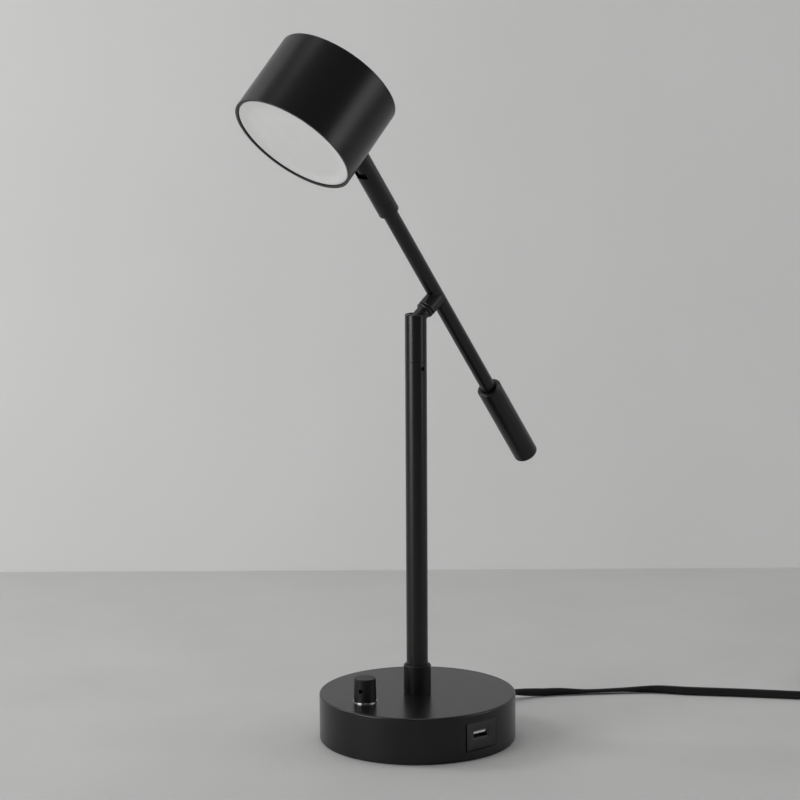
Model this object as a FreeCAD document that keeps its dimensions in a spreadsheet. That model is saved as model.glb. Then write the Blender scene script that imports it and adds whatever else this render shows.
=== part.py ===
import FreeCAD, Part
import math
import os
import re

import Sketcher

# Counterweight balance desk lamp. Millimetres, +Z up. The origin is the centre of the foot's
# underside. The front is -Y: the knob stands to its left and the socket to its right. The
# lamp is posed as it stands in use: the stem's top is swivelled, the neck is tilted, and the
# arm balances the shade against its counterweight.

doc = FreeCAD.newDocument("balance_desk_lamp")
sheet = doc.addObject("Spreadsheet::Sheet", "Sizes")

SIZES = {
    # Pose, in degrees
    "swivel_pose": 46.9,
    "neck_pose": 50.9,
    "neck_tilt_limit": 55,
    "arm_pose": 7.25,
    "head_turn_pose": 1.6,
    "head_tilt_pose": 7.3,
    # General fits
    "running_gap": 0.3,
    "shaft_gap": 0.05,
    "seat_gap": 0.1,
    "press_gap": 0.02,
    "cut_past": 1,
    # Base
    "base_diameter": 140,
    "base_height": 33.5,
    "base_wall": 2,
    "base_top": 2.5,
    "base_rim_round": 1.1,
    "foot_thickness": 1.5,
    "foot_inset": 0.8,
    "plate_thickness": 1.5,
    "ballast_gap": 2.6,
    "ballast_bore_gap": 1,
    "ballast_thickness": 9,
    "ballast_bevel": 1,
    "lead_notch_width": 22,
    "lead_notch_depth": 14,
    "boss_diameter": 8,
    "boss_inset": 4,
    "screw_diameter": 3.5,
    "screw_head": 6.8,
    "screw_length": 19,
    "screw_pilot": 2.9,
    # Stem
    "nipple_diameter": 10,
    "nipple_bore": 6,
    "nipple_reach": 18,
    "nipple_below": 8,
    "nut_flats": 14,
    "nut_thickness": 4.5,
    "washer_diameter": 20,
    "washer_thickness": 1.5,
    "collar_diameter": 19.5,
    "collar_height": 20.6,
    "collar_lip": 0.9,
    "collar_bead": 2,
    "collar_groove": 0.4,
    "stem_diameter": 15.3,
    "stem_wall": 2,
    "stem_foot_length": 24,
    "pin_height": 300.5,
    # Knuckles
    "shoulder_drop": 28.3,
    "seam_gap": 0.15,
    "stem_knuckle_top": 5,
    "head_knuckle_top": 12.6,
    "knuckle_chamfer": 0.6,
    "slot_wall": 1.2,
    "wire_bore": 4.4,
    "stem_spigot_diameter": 11.1,
    "spigot_length": 14,
    "groove_drop": 5,
    "groove_depth": 1,
    "grub_diameter": 3,
    "grub_recess": 1.2,
    "head_knuckle_diameter": 14.8,
    "pin_diameter": 3,
    "pin_cover": 1,
    "pin_recess": 0.3,
    # Necks and stubs
    "neck_diameter": 10,
    "flange_lift": 0.5,
    "flange_diameter": 12.6,
    "flange_thickness": 2.2,
    "flange_chamfer": 0.7,
    "neck_spigot_diameter": 7,
    "neck_spigot_length": 5,
    "stub_diameter": 12.8,
    "stub_chamfer": 0.5,
    "stub_reach": 25,
    "stud_diameter": 4.8,
    "stud_root": 0.5,
    "stud_rise": 1,
    # Arm
    "arm_diameter": 10.7,
    "arm_wall": 1.5,
    "head_reach": 121.1,
    "arm_ring_length": 10,
    "arm_plug_length": 26,
    "arm_grub_distance": 7.6,
    "arm_dimple_depth": 1,
    "arm_grub_angle": 30,
    "weight_start": 94.2,
    "weight_length": 71.4,
    "weight_diameter": 17.9,
    "weight_round": 1,
    "weight_mouth_gap": 0.8,
    "weight_mouth_depth": 3,
    "weight_bore_depth": 26,
    # Head
    "head_stub_reach": 20,
    "shade_diameter": 88.4,
    "shade_wall": 1.8,
    "shade_front": 31.8,
    "shade_back": 26,
    "shade_round": 1,
    "shade_back_thickness": 2,
    "lamp_boss_diameter": 7,
    "lamp_boss_circle": 60,
    "lamp_screw_depth": 9,
    "lamp_screw_head": 5.8,
    "lamp_screw_head_height": 1.6,
    "spreader_place": 12,
    "spreader_thickness": 2.5,
    "led_board_gap": 4.3,
    "led_board_thickness": 1.6,
    "led_side": 3,
    "led_thickness": 0.8,
    "led_inner_circle": 28,
    "led_outer_circle": 50,
    "diffuser_recess": 1.5,
    "diffuser_thickness": 2,
    "diffuser_skirt": 1.2,
    "head_nut_flats": 11,
    "head_nut_thickness": 3.5,
    "thread_end": 2.4,
    # Knob and dimmer
    "knob_azimuth": 221,
    "knob_radius": 44.5,
    "knob_diameter": 16,
    "knob_top_diameter": 15.4,
    "knob_height": 16,
    "knob_chamfer": 0.5,
    "knob_lift": 0.4,
    "knob_washer_diameter": 16.8,
    "knob_washer_thickness": 0.6,
    "knob_grub_azimuth": 255,
    "dimmer_side": 16,
    "dimmer_depth": 8,
    "dimmer_bushing": 7,
    "dimmer_bushing_rise": 3.4,
    "dimmer_nut_flats": 10,
    "dimmer_nut_thickness": 2,
    "dimmer_shaft_diameter": 5,
    "dimmer_shaft_rise": 13,
    "dimmer_shaft_seat": 2,
    # Socket
    "socket_azimuth": 317,
    "socket_height": 17.7,
    "panel_middle": 16.8,
    "panel_width": 28,
    "panel_height": 20,
    "panel_depth": 4,
    "panel_flange": 1.4,
    "panel_flange_inset": 0.5,
    "shell_width": 13.2,
    "shell_height": 5.7,
    "shell_length": 14,
    "shell_sheet": 0.35,
    "shell_setback": 0.6,
    "tongue_width": 11.1,
    "tongue_thickness": 1.84,
    "tongue_setback": 0.8,
    "tongue_rise": 0.35,
    "contact_width": 1,
    "contact_length": 8,
    "contact_thickness": 0.15,
    "contact_pitch": 2.3,
    "socket_board_length": 26,
    "socket_board_inset": 1,
    "board_thickness": 1.6,
    # Driver
    "tray_length": 30,
    "tray_width": 52,
    "tray_height": 4.5,
    "tray_wall": 1.2,
    "tray_gap": 4.4,
    "tray_y": 12,
    "part_inset": 8,
    "part_gap": 2,
    "transformer_length": 18,
    "transformer_width": 16,
    "transformer_height": 11,
    "capacitor_diameter": 10,
    "capacitor_height": 13,
    "small_capacitor_diameter": 6.3,
    "small_capacitor_height": 9,
    "terminal_length": 10,
    "terminal_side": 8,
    # Cord
    "cord_width": 6.3,
    "cord_lift": 0.05,
    "exit_azimuth": 64.4,
    "exit_height": 9.5,
    "relief_diameter": 10,
    "relief_neck": 8,
    "relief_tip_diameter": 7.4,
    "relief_collar": 12,
    "relief_collar_thickness": 1.5,
    "relief_length": 20,
    "relief_straight": 15,
    "relief_groove": 1,
    "relief_rib": 2.1,
    "relief_step": 0.3,
    "coil_radius": 46.8,
    "coil_gap": 0.6,
    "lead_over_turns": 28,
    "lead_to_plug": 45,
    "tie_thickness": 0.8,
    "tie_width": 8,
    "plug_length": 30,
    "plug_width": 25,
    "plug_thickness": 13,
    "plug_round": 2,
    "plug_back_width": 12,
    "plug_back_thickness": 9,
    "plug_taper": 17,
    "blade_length": 16,
    "blade_width": 6.3,
    "blade_thickness": 1.5,
    "blade_spacing": 12.7,
}

for row, (alias, value) in enumerate(SIZES.items(), 1):
    sheet.set("A%d" % row, alias.replace("_", " "))
    sheet.set("B%d" % row, repr(value))
    sheet.setAlias("B%d" % row, alias)
doc.recompute()

WORD = re.compile(r"[a-z]+(?:_[a-z]+)*")
pieces = []


def bound(text):
    """Turns the names of sizes in a formula into references to the sheet."""
    def named(found):
        word = found.group(0)
        return "Sizes." + word if word in SIZES else word

    return WORD.sub(named, str(text))


def number(text):
    """The value that a formula of sizes has now."""
    value = sheet.evalExpression(bound(text))
    return float(getattr(value, "Value", value))


def bind(thing, **formulas):
    """Binds properties of an object to formulas of sizes."""
    for name, text in formulas.items():
        setattr(thing, name, number(text))
        thing.setExpression(name, bound(text))


def put(thing, place, rotation=FreeCAD.Rotation()):
    """Places a helper solid, its base bound to three formulas."""
    thing.Placement = FreeCAD.Placement(FreeCAD.Vector(*[number(text) for text in place]), rotation)
    for letter, text in zip("xyz", place):
        thing.setExpression("Placement.Base." + letter, bound(text))
    return thing


def sketch_of(body, name):
    """A sketch on the body's own upright plane: sketch X is body X, sketch Y is body Z."""
    sketch = body.newObject("Sketcher::SketchObject", name)
    plane = [one for one in body.Origin.OriginFeatures if one.Role == "XZ_Plane"][0]
    sketch.AttachmentSupport = [(plane, "")]
    sketch.MapMode = "FlatFace"
    return sketch


def fix_point(sketch, line, end, x_text, y_text):
    """Holds one end of a line at a place given by two formulas."""
    for kind, axis, text in (("DistanceX", -2, x_text), ("DistanceY", -1, y_text)):
        if str(text) == "0":
            sketch.addConstraint(Sketcher.Constraint("PointOnObject", line, end, axis))
        else:
            index = sketch.addConstraint(Sketcher.Constraint(kind, line, end, number(text)))
            sketch.setExpression("Constraints[%d]" % index, bound(text))


def turned(name, outline):
    """A body made by turning a closed outline of (radius, height) formulas about Z."""
    body = doc.addObject("PartDesign::Body", name)
    sketch = sketch_of(body, name + "_outline")
    corners = [FreeCAD.Vector(number(x), number(y), 0) for x, y in outline]
    count = len(corners)
    for index in range(count):
        sketch.addGeometry(Part.LineSegment(corners[index], corners[(index + 1) % count]), False)
    for index in range(count):
        sketch.addConstraint(Sketcher.Constraint("Coincident", index, 2, (index + 1) % count, 1))
    for index, (x, y) in enumerate(outline):
        fix_point(sketch, index, 1, x, y)
    turn = body.newObject("PartDesign::Revolution", name + "_turn")
    turn.Profile = sketch
    turn.ReferenceAxis = (sketch, ["V_Axis"])
    turn.Angle = 360
    sketch.Visibility = False
    doc.recompute()
    return body


def round_rim(body, radius, height, size):
    """Rounds the circular edge of a turned body at a radius and a height."""
    tip = body.Tip
    names = []
    for index, edge in enumerate(tip.Shape.Edges, 1):
        curve = edge.Curve
        if isinstance(curve, Part.Circle) and abs(curve.Radius - number(radius)) < 0.01:
            if abs(curve.Center.z - number(height)) < 0.01:
                names.append("Edge%d" % index)
    fillet = body.newObject("PartDesign::Fillet", body.Name + "_round")
    fillet.Base = (tip, names)
    bind(fillet, Radius=size)
    doc.recompute()
    return body


ALONG = {
    "X": FreeCAD.Rotation(FreeCAD.Vector(0, 1, 0), 90),
    "Y": FreeCAD.Rotation(FreeCAD.Vector(1, 0, 0), -90),
    "Z": FreeCAD.Rotation(),
}


def bar(name, diameter, length, place=("0", "0", "0"), along="Z"):
    """A round bar that starts at a place and runs along an axis."""
    thing = doc.addObject("Part::Cylinder", name)
    bind(thing, Radius="(%s) / 2" % diameter, Height=length)
    return put(thing, place, ALONG[along])


def block(name, length, width, height, place):
    """A box, placed by its lowest corner."""
    thing = doc.addObject("Part::Box", name)
    bind(thing, Length=length, Width=width, Height=height)
    return put(thing, place)


def hexagon(name, flats, height, place, along="Z"):
    """A hexagonal bar, by its width across flats."""
    thing = doc.addObject("Part::Prism", name)
    thing.Polygon = 6
    bind(thing, Circumradius="(%s) / sqrt(3)" % flats, Height=height)
    return put(thing, place, ALONG[along])


def fuse(name, parts):
    thing = doc.addObject("Part::MultiFuse", name)
    thing.Shapes = parts
    return thing


def cut(name, base, tools):
    thing = doc.addObject("Part::Cut", name)
    thing.Base = base
    thing.Tool = tools[0] if len(tools) == 1 else fuse(name + "_tools", tools)
    return thing


def group(name, parts):
    thing = doc.addObject("Part::Compound", name)
    thing.Links = parts
    return thing


def placed(thing, frame):
    """Holds a solid, with the place it already has, in a frame."""
    holder = group(thing.Name + "_placed", [thing])
    holder.Placement = frame
    return holder


def piece(thing, label, frame=FreeCAD.Placement()):
    """Names a finished sub-part, puts it in its place and keeps it for the export."""
    if thing.TypeId in ("Part::Cylinder", "Part::Box"):
        thing = placed(thing, frame)
    thing.Label = label
    thing.Placement = frame
    pieces.append(thing)
    return thing


def step(x=0, y=0, z=0, axis=(0, 0, 1), angle=0):
    """One link of the chain of frames: a shift and then a turn."""
    place = FreeCAD.Vector(*[number(text) for text in (x, y, z)])
    return FreeCAD.Placement(place, FreeCAD.Rotation(FreeCAD.Vector(*axis), number(angle)))


# Frames. Each follows the one before it, so a pose angle moves all that it carries.
# stem_frame: pin of the stem's knuckle, X along its slot. neck_frame: Z along the neck.
# arm_frame: on the arm's axis above the stub, X towards the counterweight.
# head_frame: pin of the head's knuckle, Z along its body away from the arm, X along its slot.
# lamp_frame: Z along the head's neck to the shade. shade_frame: on the shade's axis, Z with the light.
stem_frame = step(z="pin_height", angle="swivel_pose")
neck_frame = stem_frame * step(axis=(0, 1, 0), angle="neck_pose")
arm_frame = neck_frame * step(z="stub_reach", angle="arm_pose")
head_frame = arm_frame * step(x="-head_reach", axis=(1, 0, -1), angle=180) * step(angle="head_turn_pose")
lamp_frame = head_frame * step(axis=(0, 1, 0), angle="head_tilt_pose")
shade_frame = lamp_frame * step(z="head_stub_reach + shade_diameter / 2", axis=(0, 1, 0), angle=90)
weight_frame = arm_frame * step(x="weight_start", axis=(0, 1, 0), angle=90)
socket_frame = step(angle="socket_azimuth")
exit_frame = step(angle="exit_azimuth") * step(z="exit_height", axis=(0, 1, 0), angle=90)
knob_frame = step(angle="knob_azimuth") * step(x="knob_radius") * step(z="base_height")

# The socket panel's flat face, the ballast's edge and the screws' circle, worked out from it.
panel_face = "sqrt(pow(base_diameter / 2; 2) - pow(panel_width / 2; 2))"
ballast_radius = "(%s - panel_depth - ballast_gap)" % panel_face
boss_reach = "(%s - boss_inset)" % ballast_radius
ballast_low = "foot_thickness + plate_thickness"
ballast_top = ballast_low + " + ballast_thickness"
BOSS_ANGLES = (0, 120, 240)
boss_places = [("%s * cos(%d)" % (boss_reach, angle), "%s * sin(%d)" % (boss_reach, angle))
               for angle in BOSS_ANGLES]

# Base cover: a deep-drawn cap with a small round at its top edge and three screw bosses
# welded inside. It is pierced for the stem, the dimmer, the socket panel and the cord.
cover = turned("cover_cap", [
    ("base_diameter / 2", "foot_thickness"),
    ("base_diameter / 2", "base_height"),
    ("nipple_diameter / 2 + seat_gap", "base_height"),
    ("nipple_diameter / 2 + seat_gap", "base_height - base_top"),
    ("base_diameter / 2 - base_wall", "base_height - base_top"),
    ("base_diameter / 2 - base_wall", "foot_thickness"),
])
round_rim(cover, "base_diameter / 2", "base_height", "base_rim_round")
cover_bosses = []
pilot_holes = []
boss_height = "base_height - base_top - (%s)" % ballast_top
for index, place in enumerate(boss_places):
    cover_bosses.append(bar("cover_boss_%d" % index, "boss_diameter", boss_height, place + (ballast_top,)))
    pilot_holes.append(bar("cover_pilot_%d" % index, "screw_pilot", boss_height, place + (ballast_top,)))
window = block("cover_window", "base_diameter / 2 - %s + panel_depth + cut_past" % panel_face,
               "panel_width + 2 * seat_gap", "panel_height + 2 * seat_gap",
               (panel_face + " - panel_depth", "-panel_width / 2 - seat_gap",
                "panel_middle - panel_height / 2 - seat_gap"))
dimmer_hole = bar("cover_dimmer_hole", "dimmer_bushing + 2 * seat_gap", "base_top + 2 * cut_past",
                  ("0", "0", "-base_top - cut_past"))
cord_hole = bar("cover_cord_hole", "relief_neck + 2 * seat_gap", "base_wall + 2 * cut_past",
                ("0", "0", "base_diameter / 2 - base_wall - cut_past"))
side_holes = [placed(window, socket_frame), placed(dimmer_hole, knob_frame), placed(cord_hole, exit_frame)]
piece(cut("base_cover", fuse("cover_solid", [cover] + cover_bosses), side_holes + pilot_holes), "base_cover")

# Ballast: a cast-iron disc on the bottom plate, with a notch for the lead and screw holes.
ballast = turned("ballast_disc", [
    ("washer_diameter / 2 + ballast_bore_gap", ballast_low),
    (ballast_radius, ballast_low),
    (ballast_radius, ballast_top + " - ballast_bevel"),
    (ballast_radius + " - ballast_bevel", ballast_top),
    ("washer_diameter / 2 + ballast_bore_gap", ballast_top),
])
notch = block("ballast_notch_block", "lead_notch_depth + cut_past", "lead_notch_width",
              "ballast_thickness + 2 * cut_past",
              (ballast_radius + " - lead_notch_depth", "-lead_notch_width / 2", ballast_low + " - cut_past"))
screw_ways = []
for index, place in enumerate(boss_places):
    screw_ways.append(bar("ballast_way_%d" % index, "screw_diameter + 6 * seat_gap",
                          "ballast_thickness + 2 * cut_past", place + (ballast_low + " - cut_past",)))
piece(cut("ballast", ballast, [placed(notch, step(angle="exit_azimuth"))] + screw_ways), "ballast")

# Bottom plate, its three countersunk screws up into the bosses, and the soft foot under it.
plate_disc = bar("plate_disc", "base_diameter - 2 * base_wall - 2 * seat_gap", "plate_thickness",
                 ("0", "0", "foot_thickness"))
sinks = []
screws = []
head_height = "(screw_head - screw_diameter) / 2"
for index, place in enumerate(boss_places):
    sink = doc.addObject("Part::Cone", "plate_sink_%d" % index)
    bind(sink, Radius1="screw_head / 2 + seat_gap", Radius2="screw_diameter / 2 + seat_gap",
         Height=head_height)
    put(sink, place + ("foot_thickness",))
    way = bar("plate_way_%d" % index, "screw_diameter + 2 * seat_gap", "plate_thickness + 2 * cut_past",
              place + ("foot_thickness - cut_past",))
    sinks += [sink, way]
    head = doc.addObject("Part::Cone", "screw_head_%d" % index)
    bind(head, Radius1="screw_head / 2", Radius2="screw_diameter / 2 - shaft_gap", Height=head_height)
    put(head, place + ("foot_thickness",))
    shank = bar("screw_shank_%d" % index, "screw_pilot - 2 * shaft_gap", "screw_length",
                place + ("foot_thickness",))
    screws.append(fuse("plate_screw_%d" % index, [head, shank]))
piece(cut("bottom_plate", plate_disc, sinks), "bottom_plate")
piece(group("plate_screws", screws), "plate_screws")
piece(bar("foot_disc", "base_diameter - 2 * foot_inset", "foot_thickness"), "foot_pad")

# Stem: a hollow threaded nipple drawn up by a washer and a nut under the cover, the collar
# that hides the joint, and the tube, whose foot has a thick threaded wall.
nipple_low = "base_height - base_top - nipple_below"
piece(cut("stem_nipple", bar("nipple_bar", "nipple_diameter", "nipple_below + base_top + nipple_reach",
                             ("0", "0", nipple_low)),
          [bar("nipple_way", "nipple_bore", "nipple_below + base_top + nipple_reach + 2 * cut_past",
               ("0", "0", nipple_low + " - cut_past"))]), "stem_nipple")
piece(cut("stem_washer", bar("washer_disc", "washer_diameter", "washer_thickness",
                             ("0", "0", "base_height - base_top - washer_thickness")),
          [bar("washer_way", "nipple_diameter + 2 * seat_gap", "washer_thickness + 2 * cut_past",
               ("0", "0", "base_height - base_top - washer_thickness - cut_past"))]), "stem_washer")
nut_low = "base_height - base_top - washer_thickness - nut_thickness"
piece(cut("stem_nut", hexagon("nut_hexagon", "nut_flats", "nut_thickness", ("0", "0", nut_low)),
          [bar("nut_way", "nipple_diameter + 2 * shaft_gap", "nut_thickness + 2 * cut_past",
               ("0", "0", nut_low + " - cut_past"))]), "stem_nut")
collar_top = "base_height + collar_height"
collar = turned("stem_collar", [
    ("stem_diameter / 2 + shaft_gap", "base_height"),
    ("collar_diameter / 2", "base_height"),
    ("collar_diameter / 2", collar_top + " - collar_bead - collar_groove"),
    ("collar_diameter / 2 - collar_groove", collar_top + " - collar_bead - collar_groove"),
    ("collar_diameter / 2 - collar_groove", collar_top + " - collar_bead"),
    ("collar_diameter / 2", collar_top + " - collar_bead"),
    ("collar_diameter / 2", collar_top + " - collar_lip"),
    ("collar_diameter / 2 - collar_lip", collar_top),
    ("stem_diameter / 2 + shaft_gap", collar_top),
])
piece(collar, "stem_collar")
stem_top = "pin_height - shoulder_drop - seam_gap"
stem = turned("stem_pipe", [
    ("nipple_diameter / 2 + shaft_gap", "base_height"),
    ("stem_diameter / 2", "base_height"),
    ("stem_diameter / 2", stem_top),
    ("stem_diameter / 2 - stem_wall", stem_top),
    ("stem_diameter / 2 - stem_wall", "base_height + stem_foot_length"),
    ("nipple_diameter / 2 + shaft_gap", "base_height + stem_foot_length"),
])
grub_height = "-shoulder_drop - groove_drop"
grub_frame = stem_frame * step(z=grub_height, angle=180)
stem_grub_hole = bar("stem_grub_hole", "grub_diameter", "stem_wall + 2 * cut_past",
                     ("0", "stem_diameter / 2 - stem_wall - cut_past", "0"), "Y")
piece(cut("stem_tube", stem, [placed(stem_grub_hole, grub_frame)]), "stem_tube")
stem_grub_tip = "(stem_spigot_diameter / 2 - groove_depth + seat_gap)"
piece(bar("stem_grub", "grub_diameter - 2 * shaft_gap", "stem_diameter / 2 - grub_recess - " + stem_grub_tip,
          ("0", stem_grub_tip, "0"), "Y"), "stem_swivel_screw", grub_frame)


def knuckle(name, diameter, spigot_diameter, top, pin_turn):
    """A slotted knuckle: a round body with its pin at the origin, a slot that lets the neck
    tilt from upright towards +X, and a grooved spigot below its shoulder."""
    outer = "(%s) / 2" % diameter
    spigot = "(%s) / 2" % spigot_diameter
    groove_top = "-shoulder_drop - groove_drop + grub_diameter / 2 + running_gap"
    groove_low = "-shoulder_drop - groove_drop - grub_diameter / 2 - running_gap"
    body = turned(name + "_blank", [
        ("wire_bore / 2", "-shoulder_drop - spigot_length"),
        (spigot, "-shoulder_drop - spigot_length"),
        (spigot, groove_low),
        (spigot + " - groove_depth", groove_low),
        (spigot + " - groove_depth", groove_top),
        (spigot, groove_top),
        (spigot, "-shoulder_drop"),
        (outer, "-shoulder_drop"),
        (outer, top + " - knuckle_chamfer"),
        (outer + " - knuckle_chamfer", top),
        ("wire_bore / 2", top),
    ])
    # The slot's outline: down the back wall, round the pin, and out along the underside
    # that the neck has at the end of its tilt. Its back corners are milled round.
    half = "(neck_diameter / 2 + running_gap)"
    above = top + " + cut_past"
    beyond = "(%s + cut_past)" % outer
    slot = doc.addObject("PartDesign::Body", name + "_slot")
    sketch = sketch_of(slot, name + "_slot_outline")
    start = FreeCAD.Vector(-number(half), 0, 0)
    limit = number("neck_tilt_limit")
    last = FreeCAD.Vector(number(half) * math.cos(math.radians(limit)),
                          -number(half) * math.sin(math.radians(limit)), 0)
    rise = "((%s - %s * cos(neck_tilt_limit)) / tan(neck_tilt_limit) - %s * sin(neck_tilt_limit))" % (
        beyond, half, half)
    out = FreeCAD.Vector(number(beyond), number(rise), 0)
    top_out = FreeCAD.Vector(number(beyond), number(above), 0)
    top_back = FreeCAD.Vector(-number(half), number(above), 0)
    circle = Part.Circle(FreeCAD.Vector(), FreeCAD.Vector(0, 0, 1), number(half))
    sketch.addGeometry(Part.ArcOfCircle(circle, math.pi, 2 * math.pi - math.radians(limit)), False)
    corners = [last, out, top_out, top_back, start]
    for index in range(4):
        sketch.addGeometry(Part.LineSegment(corners[index], corners[index + 1]), False)
    for line in range(5):
        sketch.addConstraint(Sketcher.Constraint("Coincident", line, 2, (line + 1) % 5, 1))
    sketch.addConstraint(Sketcher.Constraint("Coincident", 0, 3, -1, 1))
    index = sketch.addConstraint(Sketcher.Constraint("Radius", 0, number(half)))
    sketch.setExpression("Constraints[%d]" % index, bound(half))
    sketch.addConstraint(Sketcher.Constraint("PointOnObject", 0, 1, -1))
    index = sketch.addConstraint(Sketcher.Constraint("DistanceX", 1, 1, last.x))
    sketch.setExpression("Constraints[%d]" % index, bound(half + " * cos(neck_tilt_limit)"))
    fix_point(sketch, 1, 2, beyond, rise)
    fix_point(sketch, 2, 2, beyond, above)
    fix_point(sketch, 3, 2, "-" + half, above)
    pad = slot.newObject("PartDesign::Pad", name + "_slot_pad")
    pad.Profile = sketch
    pad.Midplane = True
    bind(pad, Length="2 * " + half)
    sketch.Visibility = False
    doc.recompute()
    depth = "(%s + %s)" % (above, outer)
    back = bar(name + "_slot_back", "(%s) - 2 * slot_wall" % diameter, depth, ("0", "0", "-" + outer))
    mouth = block(name + "_slot_mouth", beyond + " + slot_wall", "2 * " + outer, depth,
                  ("-slot_wall", "-" + outer, "-" + outer))
    milled = doc.addObject("Part::MultiCommon", name + "_slot_milled")
    milled.Shapes = [slot, fuse(name + "_slot_reach", [back, mouth])]
    pin_hole = bar(name + "_pin_hole", "pin_diameter", "(%s) - pin_cover + cut_past" % diameter,
                   ("0", "-(%s) + pin_cover" % outer, "0"), "Y")
    return cut(name, body, [milled, placed(pin_hole, pin_turn)])


def knuckle_pin(name, diameter):
    """The pin, put in from one side and stopped short of the wall on the other."""
    return bar(name + "_bar", "pin_diameter - 2 * press_gap", "(%s) - pin_cover - pin_recess" % diameter,
               ("0", "-(%s) / 2 + pin_cover" % diameter, "0"), "Y")


def seat_above(diameter, top):
    """Where a neck's flange clears its knuckle's rim when the neck is tilted all the way."""
    return "((%s) / 2 * sin(neck_tilt_limit) + %s * cos(neck_tilt_limit) + flange_lift)" % (diameter, top)


def neck(name, seat, reach):
    """A tilting neck: a ball end on the pin, a shank, a flange, and a spigot beyond it."""
    body = turned(name + "_blank", [
        ("0", "0"),
        ("neck_diameter / 2", "0"),
        ("neck_diameter / 2", seat),
        ("flange_diameter / 2 - flange_chamfer", seat),
        ("flange_diameter / 2", seat + " + flange_chamfer"),
        ("flange_diameter / 2", seat + " + flange_thickness - flange_chamfer"),
        ("flange_diameter / 2 - flange_chamfer", seat + " + flange_thickness"),
        ("neck_spigot_diameter / 2", seat + " + flange_thickness"),
        ("neck_spigot_diameter / 2", reach),
        ("0", reach),
    ])
    ball = doc.addObject("Part::Sphere", name + "_ball")
    bind(ball, Radius="neck_diameter / 2")
    pin_way = bar(name + "_pin_way", "pin_diameter + 2 * shaft_gap", "neck_diameter + 2 * cut_past",
                  ("0", "-neck_diameter / 2 - cut_past", "0"), "Y")
    return cut(name, fuse(name + "_solid", [body, ball]), [pin_way])


# Stem knuckle with its pin, and the neck that tilts in it and carries the arm.
piece(knuckle("stem_knuckle", "stem_diameter", "stem_spigot_diameter", "stem_knuckle_top", step()),
      "stem_knuckle", stem_frame)
piece(knuckle_pin("stem_pin", "stem_diameter"), "stem_pin", stem_frame)
arm_seat = seat_above("stem_diameter", "stem_knuckle_top")
stub_low = arm_seat + " + flange_thickness + running_gap"
piece(neck("arm_neck", arm_seat, stub_low + " + neck_spigot_length"), "arm_neck", neck_frame)

# Stub: turns on the neck's spigot, is saddled to the arm, and screws into the plug inside it.
stub_bore_top = stub_low + " + neck_spigot_length + running_gap"
stub = turned("stub_blank", [
    ("neck_spigot_diameter / 2 + shaft_gap", stub_low),
    ("stub_diameter / 2 - stub_chamfer", stub_low),
    ("stub_diameter / 2", stub_low + " + stub_chamfer"),
    ("stub_diameter / 2", "stub_reach"),
    ("0", "stub_reach"),
    ("0", stub_bore_top),
    ("neck_spigot_diameter / 2 + shaft_gap", stub_bore_top),
])
saddle = bar("stub_saddle", "arm_diameter + 2 * shaft_gap", "stub_diameter + 2 * cut_past",
             ("-stub_diameter / 2 - cut_past", "0", "stub_reach"), "X")
stud = bar("stub_stud", "stud_diameter", "arm_diameter / 2 + stud_root + stud_rise",
           ("0", "0", "stub_reach - arm_diameter / 2 - stud_root"))
piece(fuse("arm_stub", [cut("stub_saddled", stub, [saddle]), stud]), "arm_stub",
      neck_frame * step(angle="arm_pose"))

# Arm: a straight tube. The end ring at the head is pinned to it, a threaded plug sits in it
# over the stub, and a grub screw beside the stub holds the plug.
arm_low = "-head_reach + shoulder_drop + seam_gap"
arm_end = "weight_start + weight_bore_depth - running_gap"
arm_outer = bar("arm_outer", "arm_diameter", arm_end + " - (%s)" % arm_low, (arm_low, "0", "0"), "X")
arm_bore = bar("arm_bore", "arm_diameter - 2 * arm_wall", arm_end + " - (%s) + 2 * cut_past" % arm_low,
               (arm_low + " - cut_past", "0", "0"), "X")
stud_hole = bar("arm_stud_hole", "stud_diameter + 2 * seat_gap", "arm_diameter / 2",
                ("0", "0", "-arm_diameter / 2 - cut_past"))
arm_grub_place = step(x="-arm_grub_distance", axis=(1, 0, 0), angle="180 - arm_grub_angle")
arm_grub_hole = placed(bar("arm_grub_hole", "grub_diameter", "arm_diameter"), arm_grub_place)
ring_grub_hole = bar("ring_grub_hole", "grub_diameter", "arm_diameter",
                     ("-head_reach + shoulder_drop + groove_drop", "0", "0"), "Y")
weight_grub_hole = bar("arm_dimple", "grub_diameter", "arm_diameter",
                       ("weight_start + weight_bore_depth / 2", "0", "0"), "Y")
piece(cut("arm_rod", arm_outer, [arm_bore, stud_hole, arm_grub_hole, ring_grub_hole, weight_grub_hole]),
      "arm_rod", arm_frame)
plug_bar = bar("plug_bar", "arm_diameter - 2 * arm_wall - 2 * shaft_gap", "arm_plug_length",
               ("-arm_plug_length / 2", "0", "0"), "X")
plug_stud_hole = bar("plug_stud_hole", "stud_diameter + 2 * shaft_gap", "arm_diameter",
                     ("0", "0", "stud_rise + 2 * seat_gap - arm_diameter"))
plug_dimple_floor = "(arm_diameter / 2 - arm_wall - arm_dimple_depth)"
plug_dimple = placed(bar("plug_dimple", "grub_diameter", "arm_diameter", ("0", "0", plug_dimple_floor)),
                     arm_grub_place)
piece(cut("arm_plug", plug_bar, [plug_stud_hole, plug_dimple]), "arm_plug", arm_frame)
piece(bar("arm_grub", "grub_diameter - 2 * shaft_gap",
          "arm_diameter / 2 - grub_recess - " + plug_dimple_floor, ("0", "0", plug_dimple_floor)),
      "arm_screw", arm_frame * arm_grub_place)

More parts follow.
